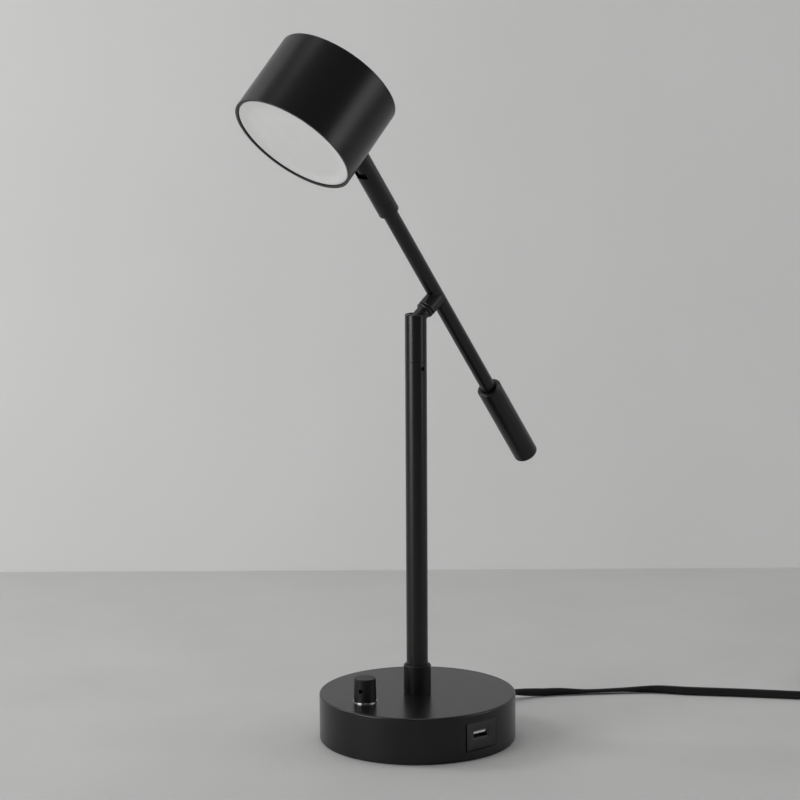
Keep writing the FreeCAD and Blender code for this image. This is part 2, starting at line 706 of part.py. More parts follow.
# End ring: pinned on the tube by the swivel screw, whose tip rides in the head knuckle's groove.
ring_tube = bar("ring_outer", "head_knuckle_diameter", "arm_ring_length", (arm_low, "0", "0"), "X")
ring_bore = bar("ring_bore", "arm_diameter + 2 * shaft_gap", "arm_ring_length + 2 * cut_past",
                (arm_low + " - cut_past", "0", "0"), "X")
ring_way = bar("ring_way", "grub_diameter", "head_knuckle_diameter",
               ("-head_reach + shoulder_drop + groove_drop", "0", "0"), "Y")
piece(cut("arm_ring", ring_tube, [ring_bore, ring_way]), "arm_ring", arm_frame)
head_spigot = "(arm_diameter - 2 * arm_wall - 4 * shaft_gap)"
ring_grub_tip = "(%s / 2 - groove_depth + seat_gap)" % head_spigot
piece(bar("ring_grub", "grub_diameter - 2 * shaft_gap",
          "head_knuckle_diameter / 2 - grub_recess - %s" % ring_grub_tip,
          ("-head_reach + shoulder_drop + groove_drop", ring_grub_tip, "0"), "Y"), "ring_screw", arm_frame)

# Counterweight: a solid steel bar, bored at its upper end for the tube, with a wider mouth,
# rounded ends and one grub screw on its far side.
weight = turned("weight_bar", [
    ("arm_diameter / 2 + weight_mouth_gap", "0"),
    ("weight_diameter / 2", "0"),
    ("weight_diameter / 2", "weight_length"),
    ("0", "weight_length"),
    ("0", "weight_bore_depth"),
    ("arm_diameter / 2 + shaft_gap", "weight_bore_depth"),
    ("arm_diameter / 2 + shaft_gap", "weight_mouth_depth"),
    ("arm_diameter / 2 + weight_mouth_gap", "weight_mouth_depth"),
])
round_rim(weight, "weight_diameter / 2", "0", "weight_round")
round_rim(weight, "weight_diameter / 2", "weight_length", "weight_round")
weight_way = bar("weight_way", "grub_diameter", "weight_diameter", ("0", "0", "weight_bore_depth / 2"), "Y")
piece(cut("counterweight", weight, [weight_way]), "counterweight", weight_frame)
piece(bar("weight_grub", "grub_diameter - 2 * shaft_gap",
          "weight_diameter / 2 - grub_recess - arm_diameter / 2 + arm_wall",
          ("0", "arm_diameter / 2 - arm_wall", "weight_bore_depth / 2"), "Y"), "weight_screw", weight_frame)

# Head knuckle with its pin, which goes in from the other side, the head's neck, and the stub
# that is saddled to the shade. The knuckle is longer here and reaches up close to the shade.
head_pin_turn = step(angle=180)
piece(knuckle("head_knuckle", "head_knuckle_diameter", head_spigot, "head_knuckle_top", head_pin_turn),
      "head_knuckle", head_frame)
piece(knuckle_pin("head_pin", "head_knuckle_diameter"), "head_pin", head_frame * head_pin_turn)
head_seat = seat_above("head_knuckle_diameter", "head_knuckle_top")
shade_reach = "head_stub_reach + shade_diameter / 2"
nut_corner = "pow(head_nut_flats / sqrt(3); 2)"
nut_seat = shade_reach + " - sqrt(pow(shade_diameter / 2 - shade_wall; 2) - %s) + seat_gap" % nut_corner
piece(neck("head_neck", head_seat, nut_seat + " + head_nut_thickness + thread_end"), "head_neck", lamp_frame)
head_stub_low = head_seat + " + flange_thickness"
head_stub_bar = bar("head_stub_bar", "stub_diameter", "head_stub_reach + cut_past - (%s)" % head_stub_low,
                    ("0", "0", head_stub_low))
head_stub_bore = bar("head_stub_bore", "neck_spigot_diameter + 2 * shaft_gap", "head_stub_reach",
                     ("0", "0", head_stub_low + " - cut_past"))
shade_round_cut = bar("head_stub_saddle", "shade_diameter + 2 * shaft_gap", "stub_diameter + 2 * cut_past",
                      ("-stub_diameter / 2 - cut_past", "0", shade_reach), "X")
piece(cut("head_stub", head_stub_bar, [head_stub_bore, shade_round_cut]), "head_stub", lamp_frame)
piece(cut("head_nut", hexagon("head_hexagon", "head_nut_flats", "head_nut_thickness", ("0", "0", nut_seat)),
          [bar("head_nut_way", "neck_spigot_diameter + 2 * shaft_gap", "head_nut_thickness + 2 * cut_past",
               ("0", "0", nut_seat + " - cut_past"))]), "head_nut", lamp_frame)

# Shade: a turned aluminium drum, closed at the back, with three bosses for the lamp's plate.
shade_cup = turned("shade_cup", [
    ("0", "-shade_back"),
    ("shade_diameter / 2", "-shade_back"),
    ("shade_diameter / 2", "shade_front"),
    ("shade_diameter / 2 - shade_wall", "shade_front"),
    ("shade_diameter / 2 - shade_wall", "-shade_back + shade_back_thickness"),
    ("0", "-shade_back + shade_back_thickness"),
])
round_rim(shade_cup, "shade_diameter / 2", "-shade_back", "shade_round")
LAMP_SCREW_ANGLES = (60, 180, 300)
lamp_bosses = []
lamp_pilots = []
lamp_ways = []
board_ways = []
lamp_screws = []
spreader_top = "spreader_place + spreader_thickness"
board_top = spreader_top + " + led_board_thickness"
boss_low = "-shade_back + shade_back_thickness"
for index, angle in enumerate(LAMP_SCREW_ANGLES):
    place = ("lamp_boss_circle / 2 * cos(%d)" % angle, "lamp_boss_circle / 2 * sin(%d)" % angle)
    lamp_bosses.append(bar("shade_boss_%d" % index, "lamp_boss_diameter", "spreader_place - (%s)" % boss_low,
                           place + (boss_low,)))
    lamp_pilots.append(bar("shade_pilot_%d" % index, "screw_pilot", "lamp_screw_depth + 2 * cut_past",
                           place + ("spreader_place - lamp_screw_depth - cut_past",)))
    lamp_ways.append(bar("spreader_way_%d" % index, "screw_diameter", "spreader_thickness + 2 * cut_past",
                         place + ("spreader_place - cut_past",)))
    board_ways.append(bar("board_way_%d" % index, "screw_diameter", "led_board_thickness + 2 * cut_past",
                          place + (spreader_top + " - cut_past",)))
    shank = bar("lamp_shank_%d" % index, "screw_pilot - 2 * shaft_gap",
                "lamp_screw_depth + spreader_thickness + led_board_thickness",
                place + ("spreader_place - lamp_screw_depth",))
    head = bar("lamp_head_%d" % index, "lamp_screw_head", "lamp_screw_head_height", place + (board_top,))
    lamp_screws.append(fuse("lamp_screw_%d" % index, [shank, head]))
shade_solid = fuse("shade_solid", [shade_cup] + lamp_bosses)
shade_neck_hole = bar("shade_neck_hole", "neck_spigot_diameter + 2 * seat_gap", "shade_diameter / 2 + cut_past",
                      ("0", "0", "0"), "X")
piece(cut("shade", shade_solid, lamp_pilots + [shade_neck_hole]), "shade", shade_frame)

# Lamp: heat spreader, board and LEDs on the three bosses, and the opal diffuser whose
# skirt stands on the spreader's rim.
inside = "(shade_diameter - 2 * shade_wall - 2 * seat_gap)"
spreader_disc = bar("spreader_disc", inside, "spreader_thickness", ("0", "0", "spreader_place"))
piece(cut("heat_spreader", spreader_disc, lamp_ways), "heat_spreader", shade_frame)
piece(cut("led_board", bar("board_disc", inside + " - 2 * led_board_gap", "led_board_thickness",
                           ("0", "0", spreader_top)), board_ways), "led_board", shade_frame)
leds = []
for circle, count in (("led_inner_circle", 6), ("led_outer_circle", 12)):
    for index in range(count):
        angle = 360.0 * (index + 0.5) / count
        leds.append(block("led_%s_%d" % (circle[4:9], index), "led_side", "led_side", "led_thickness",
                          ("%s / 2 * cos(%g) - led_side / 2" % (circle, angle),
                           "%s / 2 * sin(%g) - led_side / 2" % (circle, angle),
                           board_top)))
piece(group("leds", leds), "leds", shade_frame)
piece(group("lamp_screws", lamp_screws), "lamp_screws", shade_frame)
diffuser = turned("diffuser_disc", [
    ("%s / 2 - diffuser_skirt" % inside, spreader_top),
    ("%s / 2" % inside, spreader_top),
    ("%s / 2" % inside, "shade_front - diffuser_recess"),
    ("0", "shade_front - diffuser_recess"),
    ("0", "shade_front - diffuser_recess - diffuser_thickness"),
    ("%s / 2 - diffuser_skirt" % inside, "shade_front - diffuser_recess - diffuser_thickness"),
])
piece(diffuser, "diffuser", shade_frame)

# Dimmer: a body under the cover, its threaded bushing with a bright washer and a nut above,
# its shaft, and the knob with a hollow underside and a grub screw.
dimmer_block = block("dimmer_block", "dimmer_side", "dimmer_side", "dimmer_depth",
                     ("-dimmer_side / 2", "-dimmer_side / 2", "-base_top - dimmer_depth"))
bushing = bar("dimmer_bush", "dimmer_bushing", "base_top + dimmer_bushing_rise", ("0", "0", "-base_top"))
shaft_low = "-base_top - dimmer_shaft_seat"
shaft_way = bar("dimmer_shaft_way", "dimmer_shaft_diameter + 2 * shaft_gap",
                "dimmer_bushing_rise + cut_past + running_gap - (%s)" % shaft_low,
                ("0", "0", shaft_low + " - running_gap"))
piece(cut("dimmer_body", fuse("dimmer_solid", [dimmer_block, bushing]), [shaft_way]), "dimmer_body",
      knob_frame)
piece(cut("knob_washer", bar("washer_plate", "knob_washer_diameter", "knob_washer_thickness"),
          [bar("knob_washer_way", "dimmer_bushing + 2 * shaft_gap", "knob_washer_thickness + 2 * cut_past",
               ("0", "0", "-cut_past"))]),
      "knob_washer", knob_frame)
piece(cut("dimmer_nut", hexagon("dimmer_hexagon", "dimmer_nut_flats", "dimmer_nut_thickness",
                                ("0", "0", "knob_washer_thickness")),
          [bar("dimmer_nut_way", "dimmer_bushing + 2 * shaft_gap", "dimmer_nut_thickness + 2 * cut_past",
               ("0", "0", "knob_washer_thickness - cut_past"))]),
      "dimmer_nut", knob_frame)
piece(bar("shaft_bar", "dimmer_shaft_diameter", "dimmer_shaft_rise - (%s)" % shaft_low,
          ("0", "0", shaft_low)), "dimmer_shaft", knob_frame)
knob_low = "knob_washer_thickness + knob_lift"
knob_hollow_top = "(dimmer_bushing_rise + 3 * knob_lift)"
knob_hollow = "(dimmer_nut_flats / sqrt(3) + 2 * running_gap)"
knob = turned("knob_blank", [
    (knob_hollow, knob_low),
    ("knob_diameter / 2", knob_low),
    ("knob_top_diameter / 2", knob_low + " + knob_height - knob_chamfer"),
    ("knob_top_diameter / 2 - knob_chamfer", knob_low + " + knob_height"),
    ("0", knob_low + " + knob_height"),
    ("0", "dimmer_shaft_rise + seat_gap"),
    ("dimmer_shaft_diameter / 2 + press_gap", "dimmer_shaft_rise + seat_gap"),
    ("dimmer_shaft_diameter / 2 + press_gap", knob_hollow_top),
    (knob_hollow, knob_hollow_top),
])
knob_grub_height = "(%s + dimmer_shaft_rise) / 2" % knob_hollow_top
knob_turn = step(angle="knob_grub_azimuth - knob_azimuth")
knob_way = bar("knob_way", "grub_diameter", "knob_diameter", ("0", "0", knob_grub_height), "X")
piece(cut("knob", knob, [placed(knob_way, knob_turn)]), "knob", knob_frame)
piece(bar("knob_grub", "grub_diameter - 2 * shaft_gap",
          "knob_top_diameter / 2 - 2 * grub_recess - dimmer_shaft_diameter / 2 - shaft_gap",
          ("dimmer_shaft_diameter / 2 + shaft_gap", "0", knob_grub_height), "X"),
      "knob_screw", knob_frame * knob_turn)

# Socket: the flat panel that closes the window, the sheet-metal shell, the tongue with its
# contacts, and the small board that the shell stands on.
panel_back = panel_face + " - panel_depth"
flange_reach = "(panel_width / 2 + panel_flange)"
flange_face = "sqrt(pow(base_diameter / 2 - base_wall; 2) - pow(%s; 2)) - seat_gap" % flange_reach
panel_plate = block("panel_plate", "panel_depth", "panel_width", "panel_height",
                    (panel_back, "-panel_width / 2", "panel_middle - panel_height / 2"))
panel_flange = block("panel_flange_plate", "panel_flange", "2 * " + flange_reach,
                     "panel_height - 2 * panel_flange_inset",
                     (flange_face + " - panel_flange", "-" + flange_reach,
                      "panel_middle - panel_height / 2 + panel_flange_inset"))
port_way = block("panel_port", "panel_depth + 2 * cut_past", "shell_width + 2 * seat_gap",
                 "shell_height + 2 * seat_gap",
                 (panel_back + " - cut_past", "-shell_width / 2 - seat_gap",
                  "socket_height - shell_height / 2 - seat_gap"))
piece(cut("socket_panel", fuse("panel_solid", [panel_plate, panel_flange]), [port_way]), "socket_panel",
      socket_frame)
shell_back = "(%s - shell_setback - shell_length)" % panel_face
shell_outer = block("shell_outer", "shell_length", "shell_width", "shell_height",
                    (shell_back, "-shell_width / 2", "socket_height - shell_height / 2"))
shell_inner = block("shell_inner", "shell_length", "shell_width - 2 * shell_sheet",
                    "shell_height - 2 * shell_sheet",
                    (shell_back + " + shell_sheet", "-shell_width / 2 + shell_sheet",
                     "socket_height - shell_height / 2 + shell_sheet"))
piece(cut("socket_shell", shell_outer, [shell_inner]), "socket_shell", socket_frame)
tongue_length = "shell_length - shell_sheet - tongue_setback"
piece(block("tongue_bar", tongue_length, "tongue_width", "tongue_thickness",
            (shell_back + " + shell_sheet", "-tongue_width / 2", "socket_height + tongue_rise")),
      "socket_tongue", socket_frame)
contacts = []
for index in range(4):
    contacts.append(block("contact_%d" % index, "contact_length", "contact_width", "contact_thickness",
                          (shell_back + " + %s - contact_length" % tongue_length,
                           "contact_pitch * %g - contact_width / 2" % (index - 1.5),
                           "socket_height + tongue_rise - contact_thickness")))
piece(group("contacts", contacts), "socket_contacts", socket_frame)
board_low = "socket_height - shell_height / 2 - board_thickness"
piece(block("socket_board_plate", "socket_board_length", "panel_width - 2 * socket_board_inset",
            "board_thickness",
            (panel_back + " - socket_board_length", "-panel_width / 2 + socket_board_inset", board_low)),
      "socket_board", socket_frame)

# Driver: an insulating tray on the ballast, the board in it, and the board's large parts.
tray_reach = "sqrt(pow(base_diameter / 2 - base_wall - tray_gap; 2) - pow(tray_y + tray_width / 2; 2))"
tray_x = "(tray_length / 2 - %s)" % tray_reach
tray_outer = block("tray_outer", "tray_length", "tray_width", "tray_height",
                   (tray_x + " - tray_length / 2", "tray_y - tray_width / 2", ballast_top))
tray_inner = block("tray_inner", "tray_length - 2 * tray_wall", "tray_width - 2 * tray_wall", "tray_height",
                   (tray_x + " - tray_length / 2 + tray_wall", "tray_y - tray_width / 2 + tray_wall",
                    ballast_top + " + tray_wall"))
piece(cut("driver_tray", tray_outer, [tray_inner]), "driver_tray")
board_inset = "tray_wall + seat_gap"
piece(block("driver_plate", "tray_length - 2 * (%s)" % board_inset, "tray_width - 2 * (%s)" % board_inset,
            "board_thickness",
            (tray_x + " - tray_length / 2 + " + board_inset, "tray_y - tray_width / 2 + " + board_inset,
             ballast_top + " + tray_wall")), "driver_board")
driver_top = ballast_top + " + tray_wall + board_thickness"
capacitor_y = "tray_y + tray_width / 2 - part_inset"
transformer = block("transformer", "transformer_length", "transformer_width", "transformer_height",
                    (tray_x + " - transformer_length / 2", "tray_y - transformer_width / 2", driver_top))
capacitor = bar("capacitor", "capacitor_diameter", "capacitor_height",
                (tray_x + " - (capacitor_diameter + part_gap) / 2", capacitor_y, driver_top))
small_capacitor = bar("small_capacitor", "small_capacitor_diameter", "small_capacitor_height",
                      (tray_x + " + (small_capacitor_diameter + part_gap) / 2", capacitor_y, driver_top))
terminal = block("terminal", "terminal_length", "terminal_side", "terminal_side",
                 (tray_x + " - terminal_length / 2",
                  "tray_y - tray_width / 2 + part_inset - terminal_side / 2", driver_top))
piece(group("driver_parts", [transformer, capacitor, small_capacitor, terminal]), "driver_parts")

# Strain relief: a moulded plug held in the cover's wall between a flange and a collar, which
# tapers outwards to the cord.
wall_in = "sqrt(pow(base_diameter / 2 - base_wall; 2) - pow(relief_collar / 2; 2))"
relief_tip = "base_diameter / 2 + relief_length"
relief_ribs = []
for index in range(4):
    rib_low = "base_diameter / 2 + seat_gap + relief_collar_thickness + %d * relief_rib" % (2 * index)
    rib_radius = "(relief_diameter / 2 - %d * relief_step)" % index
    relief_ribs += [
        (rib_radius, rib_low),
        (rib_radius + " - relief_groove", rib_low),
        (rib_radius + " - relief_groove", rib_low + " + relief_rib"),
        (rib_radius + " - relief_step", rib_low + " + relief_rib"),
    ]
relief = turned("cord_relief", [
    ("0", wall_in + " - relief_collar_thickness - seat_gap"),
    ("relief_collar / 2", wall_in + " - relief_collar_thickness - seat_gap"),
    ("relief_collar / 2", wall_in + " - seat_gap"),
    ("relief_neck / 2", wall_in + " - seat_gap"),
    ("relief_neck / 2", "base_diameter / 2 + seat_gap"),
    ("relief_diameter / 2", "base_diameter / 2 + seat_gap"),
] + relief_ribs + [
    ("relief_tip_diameter / 2", relief_tip),
    ("0", relief_tip),
])
piece(relief, "cord_relief", exit_frame)

# Cord: the free stretch from the strain relief, round behind the base and off to the right
# along the table. Points of the route, in millimetres, chosen by hand after the photograph.
cord_radius = number("cord_width") / 2
tip = exit_frame.multVec(FreeCAD.Vector(0, 0, number(relief_tip)))
straight_on = exit_frame.multVec(FreeCAD.Vector(0, 0, number(relief_tip + " + relief_straight")))
cord_floor = number("cord_width / 2 + cord_lift")
coil_floor = number("tie_thickness") + number("coil_gap") + cord_radius
ROUTE = [
    (tip.x, tip.y, tip.z),
    (straight_on.x, straight_on.y, straight_on.z),
    (55.8, 105.6, 6.6),
    (80.4, 118.8, cord_floor),
    (109.7, 125.7, cord_floor),
    (159.0, 134.6, cord_floor),
    (187.5, 132.3, cord_floor),
    (216.3, 132.5, cord_floor),
    (247.2, 131.4, cord_floor),
    (277.7, 129.3, cord_floor),
    (305.0, 128.7, cord_floor),
    (332.0, 129.4, coil_floor),
]


def arc_from(start, heading, end):
    """The arc that leaves a point along a heading and ends at another point."""
    chord = end - start
    side = heading - chord * (heading.dot(chord) / chord.dot(chord))
    half_angle = heading.getAngle(chord)
    if half_angle < 1e-6:
        return Part.LineSegment(start, end)
    side.normalize()
    middle = start + chord * 0.5 + side * (chord.Length / 2 * math.tan(half_angle / 2))
    return Part.Arc(start, middle, end)


def rounded_route(points):
    """Straight runs joined by tangent arcs, each as large as its two runs allow."""
    corners = [FreeCAD.Vector(*point) for point in points]
    edges = []
    radii = []
    start = corners[0]
    for before, corner, after in zip(corners, corners[1:], corners[2:]):
        back = before - corner
        ahead = after - corner
        reach = 0.45 * min(back.Length, ahead.Length)
        half_turn = (math.pi - back.getAngle(ahead)) / 2
        radii.append(reach / math.tan(half_turn))
        back.normalize()
        ahead.normalize()
        arc_start = corner + back * reach
        arc_end = corner + ahead * reach
        edges.append(Part.LineSegment(start, arc_start).toShape())
        edges.append(arc_from(arc_start, back * -1, arc_end).toShape())
        start = arc_end
    edges.append(Part.LineSegment(start, corners[-1]).toShape())
    return edges, radii


def tube_along(edges, radius):
    """A round tube along a chain of tangent edges."""
    spine = Part.Wire(edges)
    first = edges[0]
    start = first.valueAt(first.FirstParameter)
    heading = first.tangentAt(first.FirstParameter)
    ring = Part.Wire([Part.Circle(start, heading, radius).toShape()])
    pipe = Part.BRepOffsetAPI.MakePipeShell(spine)
    pipe.add(ring)
    pipe.build()
    pipe.makeSolid()
    return pipe.shape(), spine.Length


def wound(label, edges, radius):
    """Makes a tube a sub-part, and compares its volume with its section times its length."""
    shape, length = tube_along(edges, radius)
    thing = doc.addObject("Part::Feature", label)
    thing.Shape = shape
    ratio = shape.Volume / (math.pi * radius * radius * length)
    print("%s: length %.1f mm, volume over section times length %.4f" % (label, length, ratio))
    piece(thing, label)
    return length


cord_edges, cord_radii = rounded_route(ROUTE)
print("cord radii in mm: " + ", ".join("%.1f" % one for one in cord_radii))
cord_length = wound("cord", cord_edges, cord_radius)

# Coil: the rest of the lead, put away. The bottom layer winds in, the tube climbs in the
# half turn before the spiral reverses, and the top layer winds out again, half a pitch aside.
pitch = number("cord_width + coil_gap")
TURNS_IN = 3.5
TURNS_OUT = 2.75
ASIDE_TURNS = 0.75
coil_entry = FreeCAD.Vector(*ROUTE[-1])
entry_heading = coil_entry - FreeCAD.Vector(*ROUTE[-2])
entry_heading.normalize()
coil_start = coil_entry + entry_heading * (2 * cord_radius)
coil_radius = number("coil_radius")
coil_centre = coil_start + FreeCAD.Vector(-entry_heading.y, entry_heading.x, 0).normalize() * coil_radius
start_angle = math.atan2(coil_start.y - coil_centre.y, coil_start.x - coil_centre.x)


def coil_point(quarter):
    """A point of the coil after a number of quarter turns."""
    turns = quarter / 4.0
    climb = min(max(2 * (turns - TURNS_IN) + 1, 0), 1)
    aside = min(max((turns - TURNS_IN) / ASIDE_TURNS, 0), 1)
    radius = coil_radius - pitch * min(turns, 2 * TURNS_IN - turns) + pitch / 2 * aside
    angle = start_angle + 2 * math.pi * turns
    height = pitch * climb * climb * (3 - 2 * climb)
    return coil_centre + FreeCAD.Vector(radius * math.cos(angle), radius * math.sin(angle), height)


def coil_heading(quarter):
    """The direction of the coil there, taken between two points close by."""
    return (coil_point(quarter + 0.25) - coil_point(quarter - 0.25)).normalize()


def biarc(start, start_heading, end, end_heading):
    """Two arcs that join two points and their headings without a kink."""
    chord = end - start
    total = start_heading + end_heading
    a = 2 * (start_heading.dot(end_heading) - 1)
    b = -2 * chord.dot(total)
    c = chord.dot(chord)
    if abs(a) < 1e-9:
        reach = -c / b
    else:
        reach = (-b - math.sqrt(b * b - 4 * a * c)) / (2 * a)
    joint = (start + end + (start_heading - end_heading) * reach) * 0.5
    first = arc_from(start, start_heading, joint)
    second = arc_from(end, end_heading * -1, joint)
    edge = second.toShape()
    edge.reverse()
    return [first.toShape(), edge]


stations = [(coil_start, entry_heading)]
for quarter in range(1, int(4 * (TURNS_IN + TURNS_OUT)) + 1):
    stations.append((coil_point(quarter), coil_heading(quarter)))
last_point, last_heading = stations[-1]
plug_heading = FreeCAD.Vector(last_heading.x, last_heading.y, 0).normalize()
over_turns = last_point + plug_heading * number("lead_over_turns")
plug_start = over_turns + plug_heading * number("lead_to_plug")
plug_start.z = number("plug_thickness") / 2
stations.append((over_turns, plug_heading))
stations.append((plug_start, plug_heading))
plug_back = plug_start + plug_heading * (2 * cord_radius)
coil_edges = [Part.LineSegment(coil_entry, coil_start).toShape()]
for (start, heading), (end, end_heading) in zip(stations, stations[1:]):
    coil_edges += biarc(start, heading, end, end_heading)
coil_edges.append(Part.LineSegment(plug_start, plug_back).toShape())
coil_length = wound("cord_coil", coil_edges, cord_radius)
lead_length = number(relief_tip) - number(wall_in) + cord_length + coil_length
print("whole cord: %.0f mm" % lead_length)
EDGE_SAMPLES = 6
SAMPLES_APART = 15
samples = []
for edge in coil_edges:
    for index in range(EDGE_SAMPLES):
        span = edge.LastParameter - edge.FirstParameter
        samples.append(edge.valueAt(edge.FirstParameter + span * index / EDGE_SAMPLES))
least = min(one.distanceToPoint(other)
            for index, one in enumerate(samples) for other in samples[index + SAMPLES_APART:])
print("least gap of the coil to itself: %.2f mm" % (least - 2 * cord_radius))

# Tie: a flat band round the coil's turns on its far side.
tie_in = "coil_radius - %g * (cord_width + coil_gap) - cord_width / 2 - coil_gap" % TURNS_IN
tie_out = "coil_radius - (cord_width + coil_gap) / 2 + cord_width / 2 + coil_gap"
tie_high = "2 * cord_width + 3 * coil_gap"
TIE_AZIMUTH = 120
tie_frame = FreeCAD.Placement(FreeCAD.Vector(coil_centre.x, coil_centre.y, 0),
                              FreeCAD.Rotation(FreeCAD.Vector(0, 0, 1), TIE_AZIMUTH))
band_outer = block("band_outer", tie_out + " - (%s) + 2 * tie_thickness" % tie_in, "tie_width",
                   tie_high + " + 2 * tie_thickness",
                   (tie_in + " - tie_thickness", "-tie_width / 2", "cord_lift"))
band_inner = block("band_inner", tie_out + " - (%s)" % tie_in, "tie_width + 2 * cut_past", tie_high,
                   (tie_in, "-tie_width / 2 - cut_past", "cord_lift + tie_thickness"))
piece(cut("coil_tie", band_outer, [band_inner]), "coil_tie", tie_frame)

# Plug: a small moulded body with two flat blades, lying on the table beside the coil.
plug_turn = math.degrees(math.atan2(plug_heading.y, plug_heading.x))
plug_frame = FreeCAD.Placement(plug_back, FreeCAD.Rotation(FreeCAD.Vector(0, 0, 1), plug_turn))
plug_front = block("plug_front", "plug_length - plug_taper", "plug_width", "plug_thickness - 2 * cord_lift",
                   ("plug_taper", "-plug_width / 2", "-plug_thickness / 2 + cord_lift"))
plug_tail = doc.addObject("Part::Wedge", "plug_tail")
plug_tail.Ymin = 0
bind(plug_tail, Xmin="-plug_back_width / 2", Xmax="plug_back_width / 2", Ymax="plug_taper",
     Zmin="-plug_back_thickness / 2", Zmax="plug_back_thickness / 2",
     X2min="-plug_width / 2", X2max="plug_width / 2",
     Z2min="-plug_thickness / 2 + cord_lift", Z2max="plug_thickness / 2 - cord_lift")
put(plug_tail, ("0", "0", "0"), FreeCAD.Rotation(FreeCAD.Vector(0, 0, 1), -90))
plug_solid = fuse("plug_solid", [plug_front, plug_tail])
doc.recompute()
plug_body = doc.addObject("Part::Fillet", "plug_body")
plug_body.Base = plug_solid
plug_body.Edges = [(index, number("plug_round"), number("plug_round"))
                   for index in range(1, len(plug_solid.Shape.Edges) + 1)]
piece(plug_body, "plug_body", plug_frame)
blades = []
for name, side in (("left", -1), ("right", 1)):
    blades.append(block("blade_" + name, "blade_length", "blade_thickness", "blade_width",
                        ("plug_length", "%d * blade_spacing / 2 - blade_thickness / 2" % side,
                         "-blade_width / 2")))
piece(group("plug_blades", blades), "plug_blades", plug_frame)

doc.recompute()
for thing in doc.Objects:
    if "Invalid" in thing.State or "Error" in thing.State:
        raise RuntimeError("%s failed: %s" % (thing.Name, thing.State))
for thing in pieces:
    shape = thing.Shape
    if shape.isNull() or not shape.isValid() or not shape.Solids:
        raise RuntimeError("%s has no valid solid" % thing.Label)
os.makedirs("parts", exist_ok=True)
for thing in pieces:
    thing.Shape.exportStep("parts/%s.step" % thing.Label)
print("%d sub-parts" % len(pieces))
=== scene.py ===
import math

import bpy
from mathutils import Matrix, Vector, noise


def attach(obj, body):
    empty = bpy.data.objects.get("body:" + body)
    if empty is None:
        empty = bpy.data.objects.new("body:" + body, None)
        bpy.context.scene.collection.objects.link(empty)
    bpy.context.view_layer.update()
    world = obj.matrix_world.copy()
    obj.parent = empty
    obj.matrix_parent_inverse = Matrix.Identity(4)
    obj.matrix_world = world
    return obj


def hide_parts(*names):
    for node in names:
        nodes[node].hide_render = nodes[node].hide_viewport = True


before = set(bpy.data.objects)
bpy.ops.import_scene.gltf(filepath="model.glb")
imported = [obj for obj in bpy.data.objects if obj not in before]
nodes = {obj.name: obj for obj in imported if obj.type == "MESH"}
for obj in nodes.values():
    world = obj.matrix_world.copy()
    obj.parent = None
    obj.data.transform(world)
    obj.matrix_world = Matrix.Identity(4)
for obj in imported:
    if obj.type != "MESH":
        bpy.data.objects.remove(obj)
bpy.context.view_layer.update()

scene = bpy.context.scene
scene.view_settings.view_transform = "Standard"

# Camera. It stands 1.8 m in front of the lamp, a little to its right and just above the shade,
# with a long lens that looks slightly down.
CAMERA_AZIMUTH = math.radians(7.4)
CAMERA_DISTANCE = 1.83384
CAMERA_ASIDE = -0.01129
CAMERA_HEIGHT = 0.54631
CAMERA_DROP = math.radians(9.345)
CAMERA_ROLL = math.radians(-0.32)
FOCAL_PIXELS = 2649.46
PICTURE_WIDTH = 800

turn_to_camera = Matrix.Rotation(CAMERA_AZIMUTH, 4, "Z")
camera = bpy.data.objects.new("camera", bpy.data.cameras.new("camera"))
scene.collection.objects.link(camera)
camera.matrix_world = (
    turn_to_camera
    @ Matrix.Translation((CAMERA_ASIDE, -CAMERA_DISTANCE, CAMERA_HEIGHT))
    @ Matrix.Rotation(math.pi / 2 - CAMERA_DROP, 4, "X")
    @ Matrix.Rotation(CAMERA_ROLL, 4, "Z")
)
camera.data.sensor_width = 36
camera.data.lens = FOCAL_PIXELS * camera.data.sensor_width / PICTURE_WIDTH
camera.data.clip_start = 0.05
camera.data.clip_end = 50
scene.camera = camera


# Room. A pale painted floor and, half a metre behind the lamp, a pale wall that shows from its
# front only. Soft boxes stand at both sides and hang above, and some light comes from all round.
class Wire:
    """A socket in a material's nodes. Sums and products of wires add Math nodes."""

    def __init__(self, tree, socket=None):
        self.tree = tree
        self.socket = socket

    def node(self, kind, settings=None, sockets=None, output=0):
        """Adds a node, sets it up, and then fills its sockets with values or links."""
        made = self.tree.nodes.new("ShaderNode" + kind)
        for name, value in (settings or {}).items():
            setattr(made, name, value)
        for name, value in (sockets or {}).items():
            if isinstance(value, Wire):
                self.tree.links.new(value.socket, made.inputs[name])
            else:
                made.inputs[name].default_value = value
        return Wire(self.tree, made.outputs[output])

    def math(self, operation, first, second):
        return self.node("Math", {"operation": operation}, {0: first, 1: second})

    def __add__(self, other):
        return self.math("ADD", self, other)

    def __sub__(self, other):
        return self.math("SUBTRACT", self, other)

    def __rsub__(self, other):
        return self.math("SUBTRACT", other, self)

    def __mul__(self, other):
        return self.math("MULTIPLY", self, other)

    __radd__ = __add__
    __rmul__ = __mul__


def new_finish(name, colour, roughness, metallic=0.0):
    """A material with one Principled shader. Gives the material, the shader and a wire."""
    material = bpy.data.materials.new(name)
    material.use_nodes = True
    shader = material.node_tree.nodes["Principled BSDF"]
    shader.inputs["Base Color"].default_value = (*colour, 1)
    shader.inputs["Roughness"].default_value = roughness
    shader.inputs["Metallic"].default_value = metallic
    return material, shader, Wire(material.node_tree)


def feed(shader, socket, wire):
    """Links a varying value to one of the shader's sockets."""
    wire.tree.links.new(wire.socket, shader.inputs[socket])


def speckle(wire, scale, detail):
    """Fine noise over the object's own coordinates."""
    place = wire.node("TexCoord", output="Object")
    return wire.node("TexNoise", None, {"Vector": place, "Scale": scale, "Detail": detail})


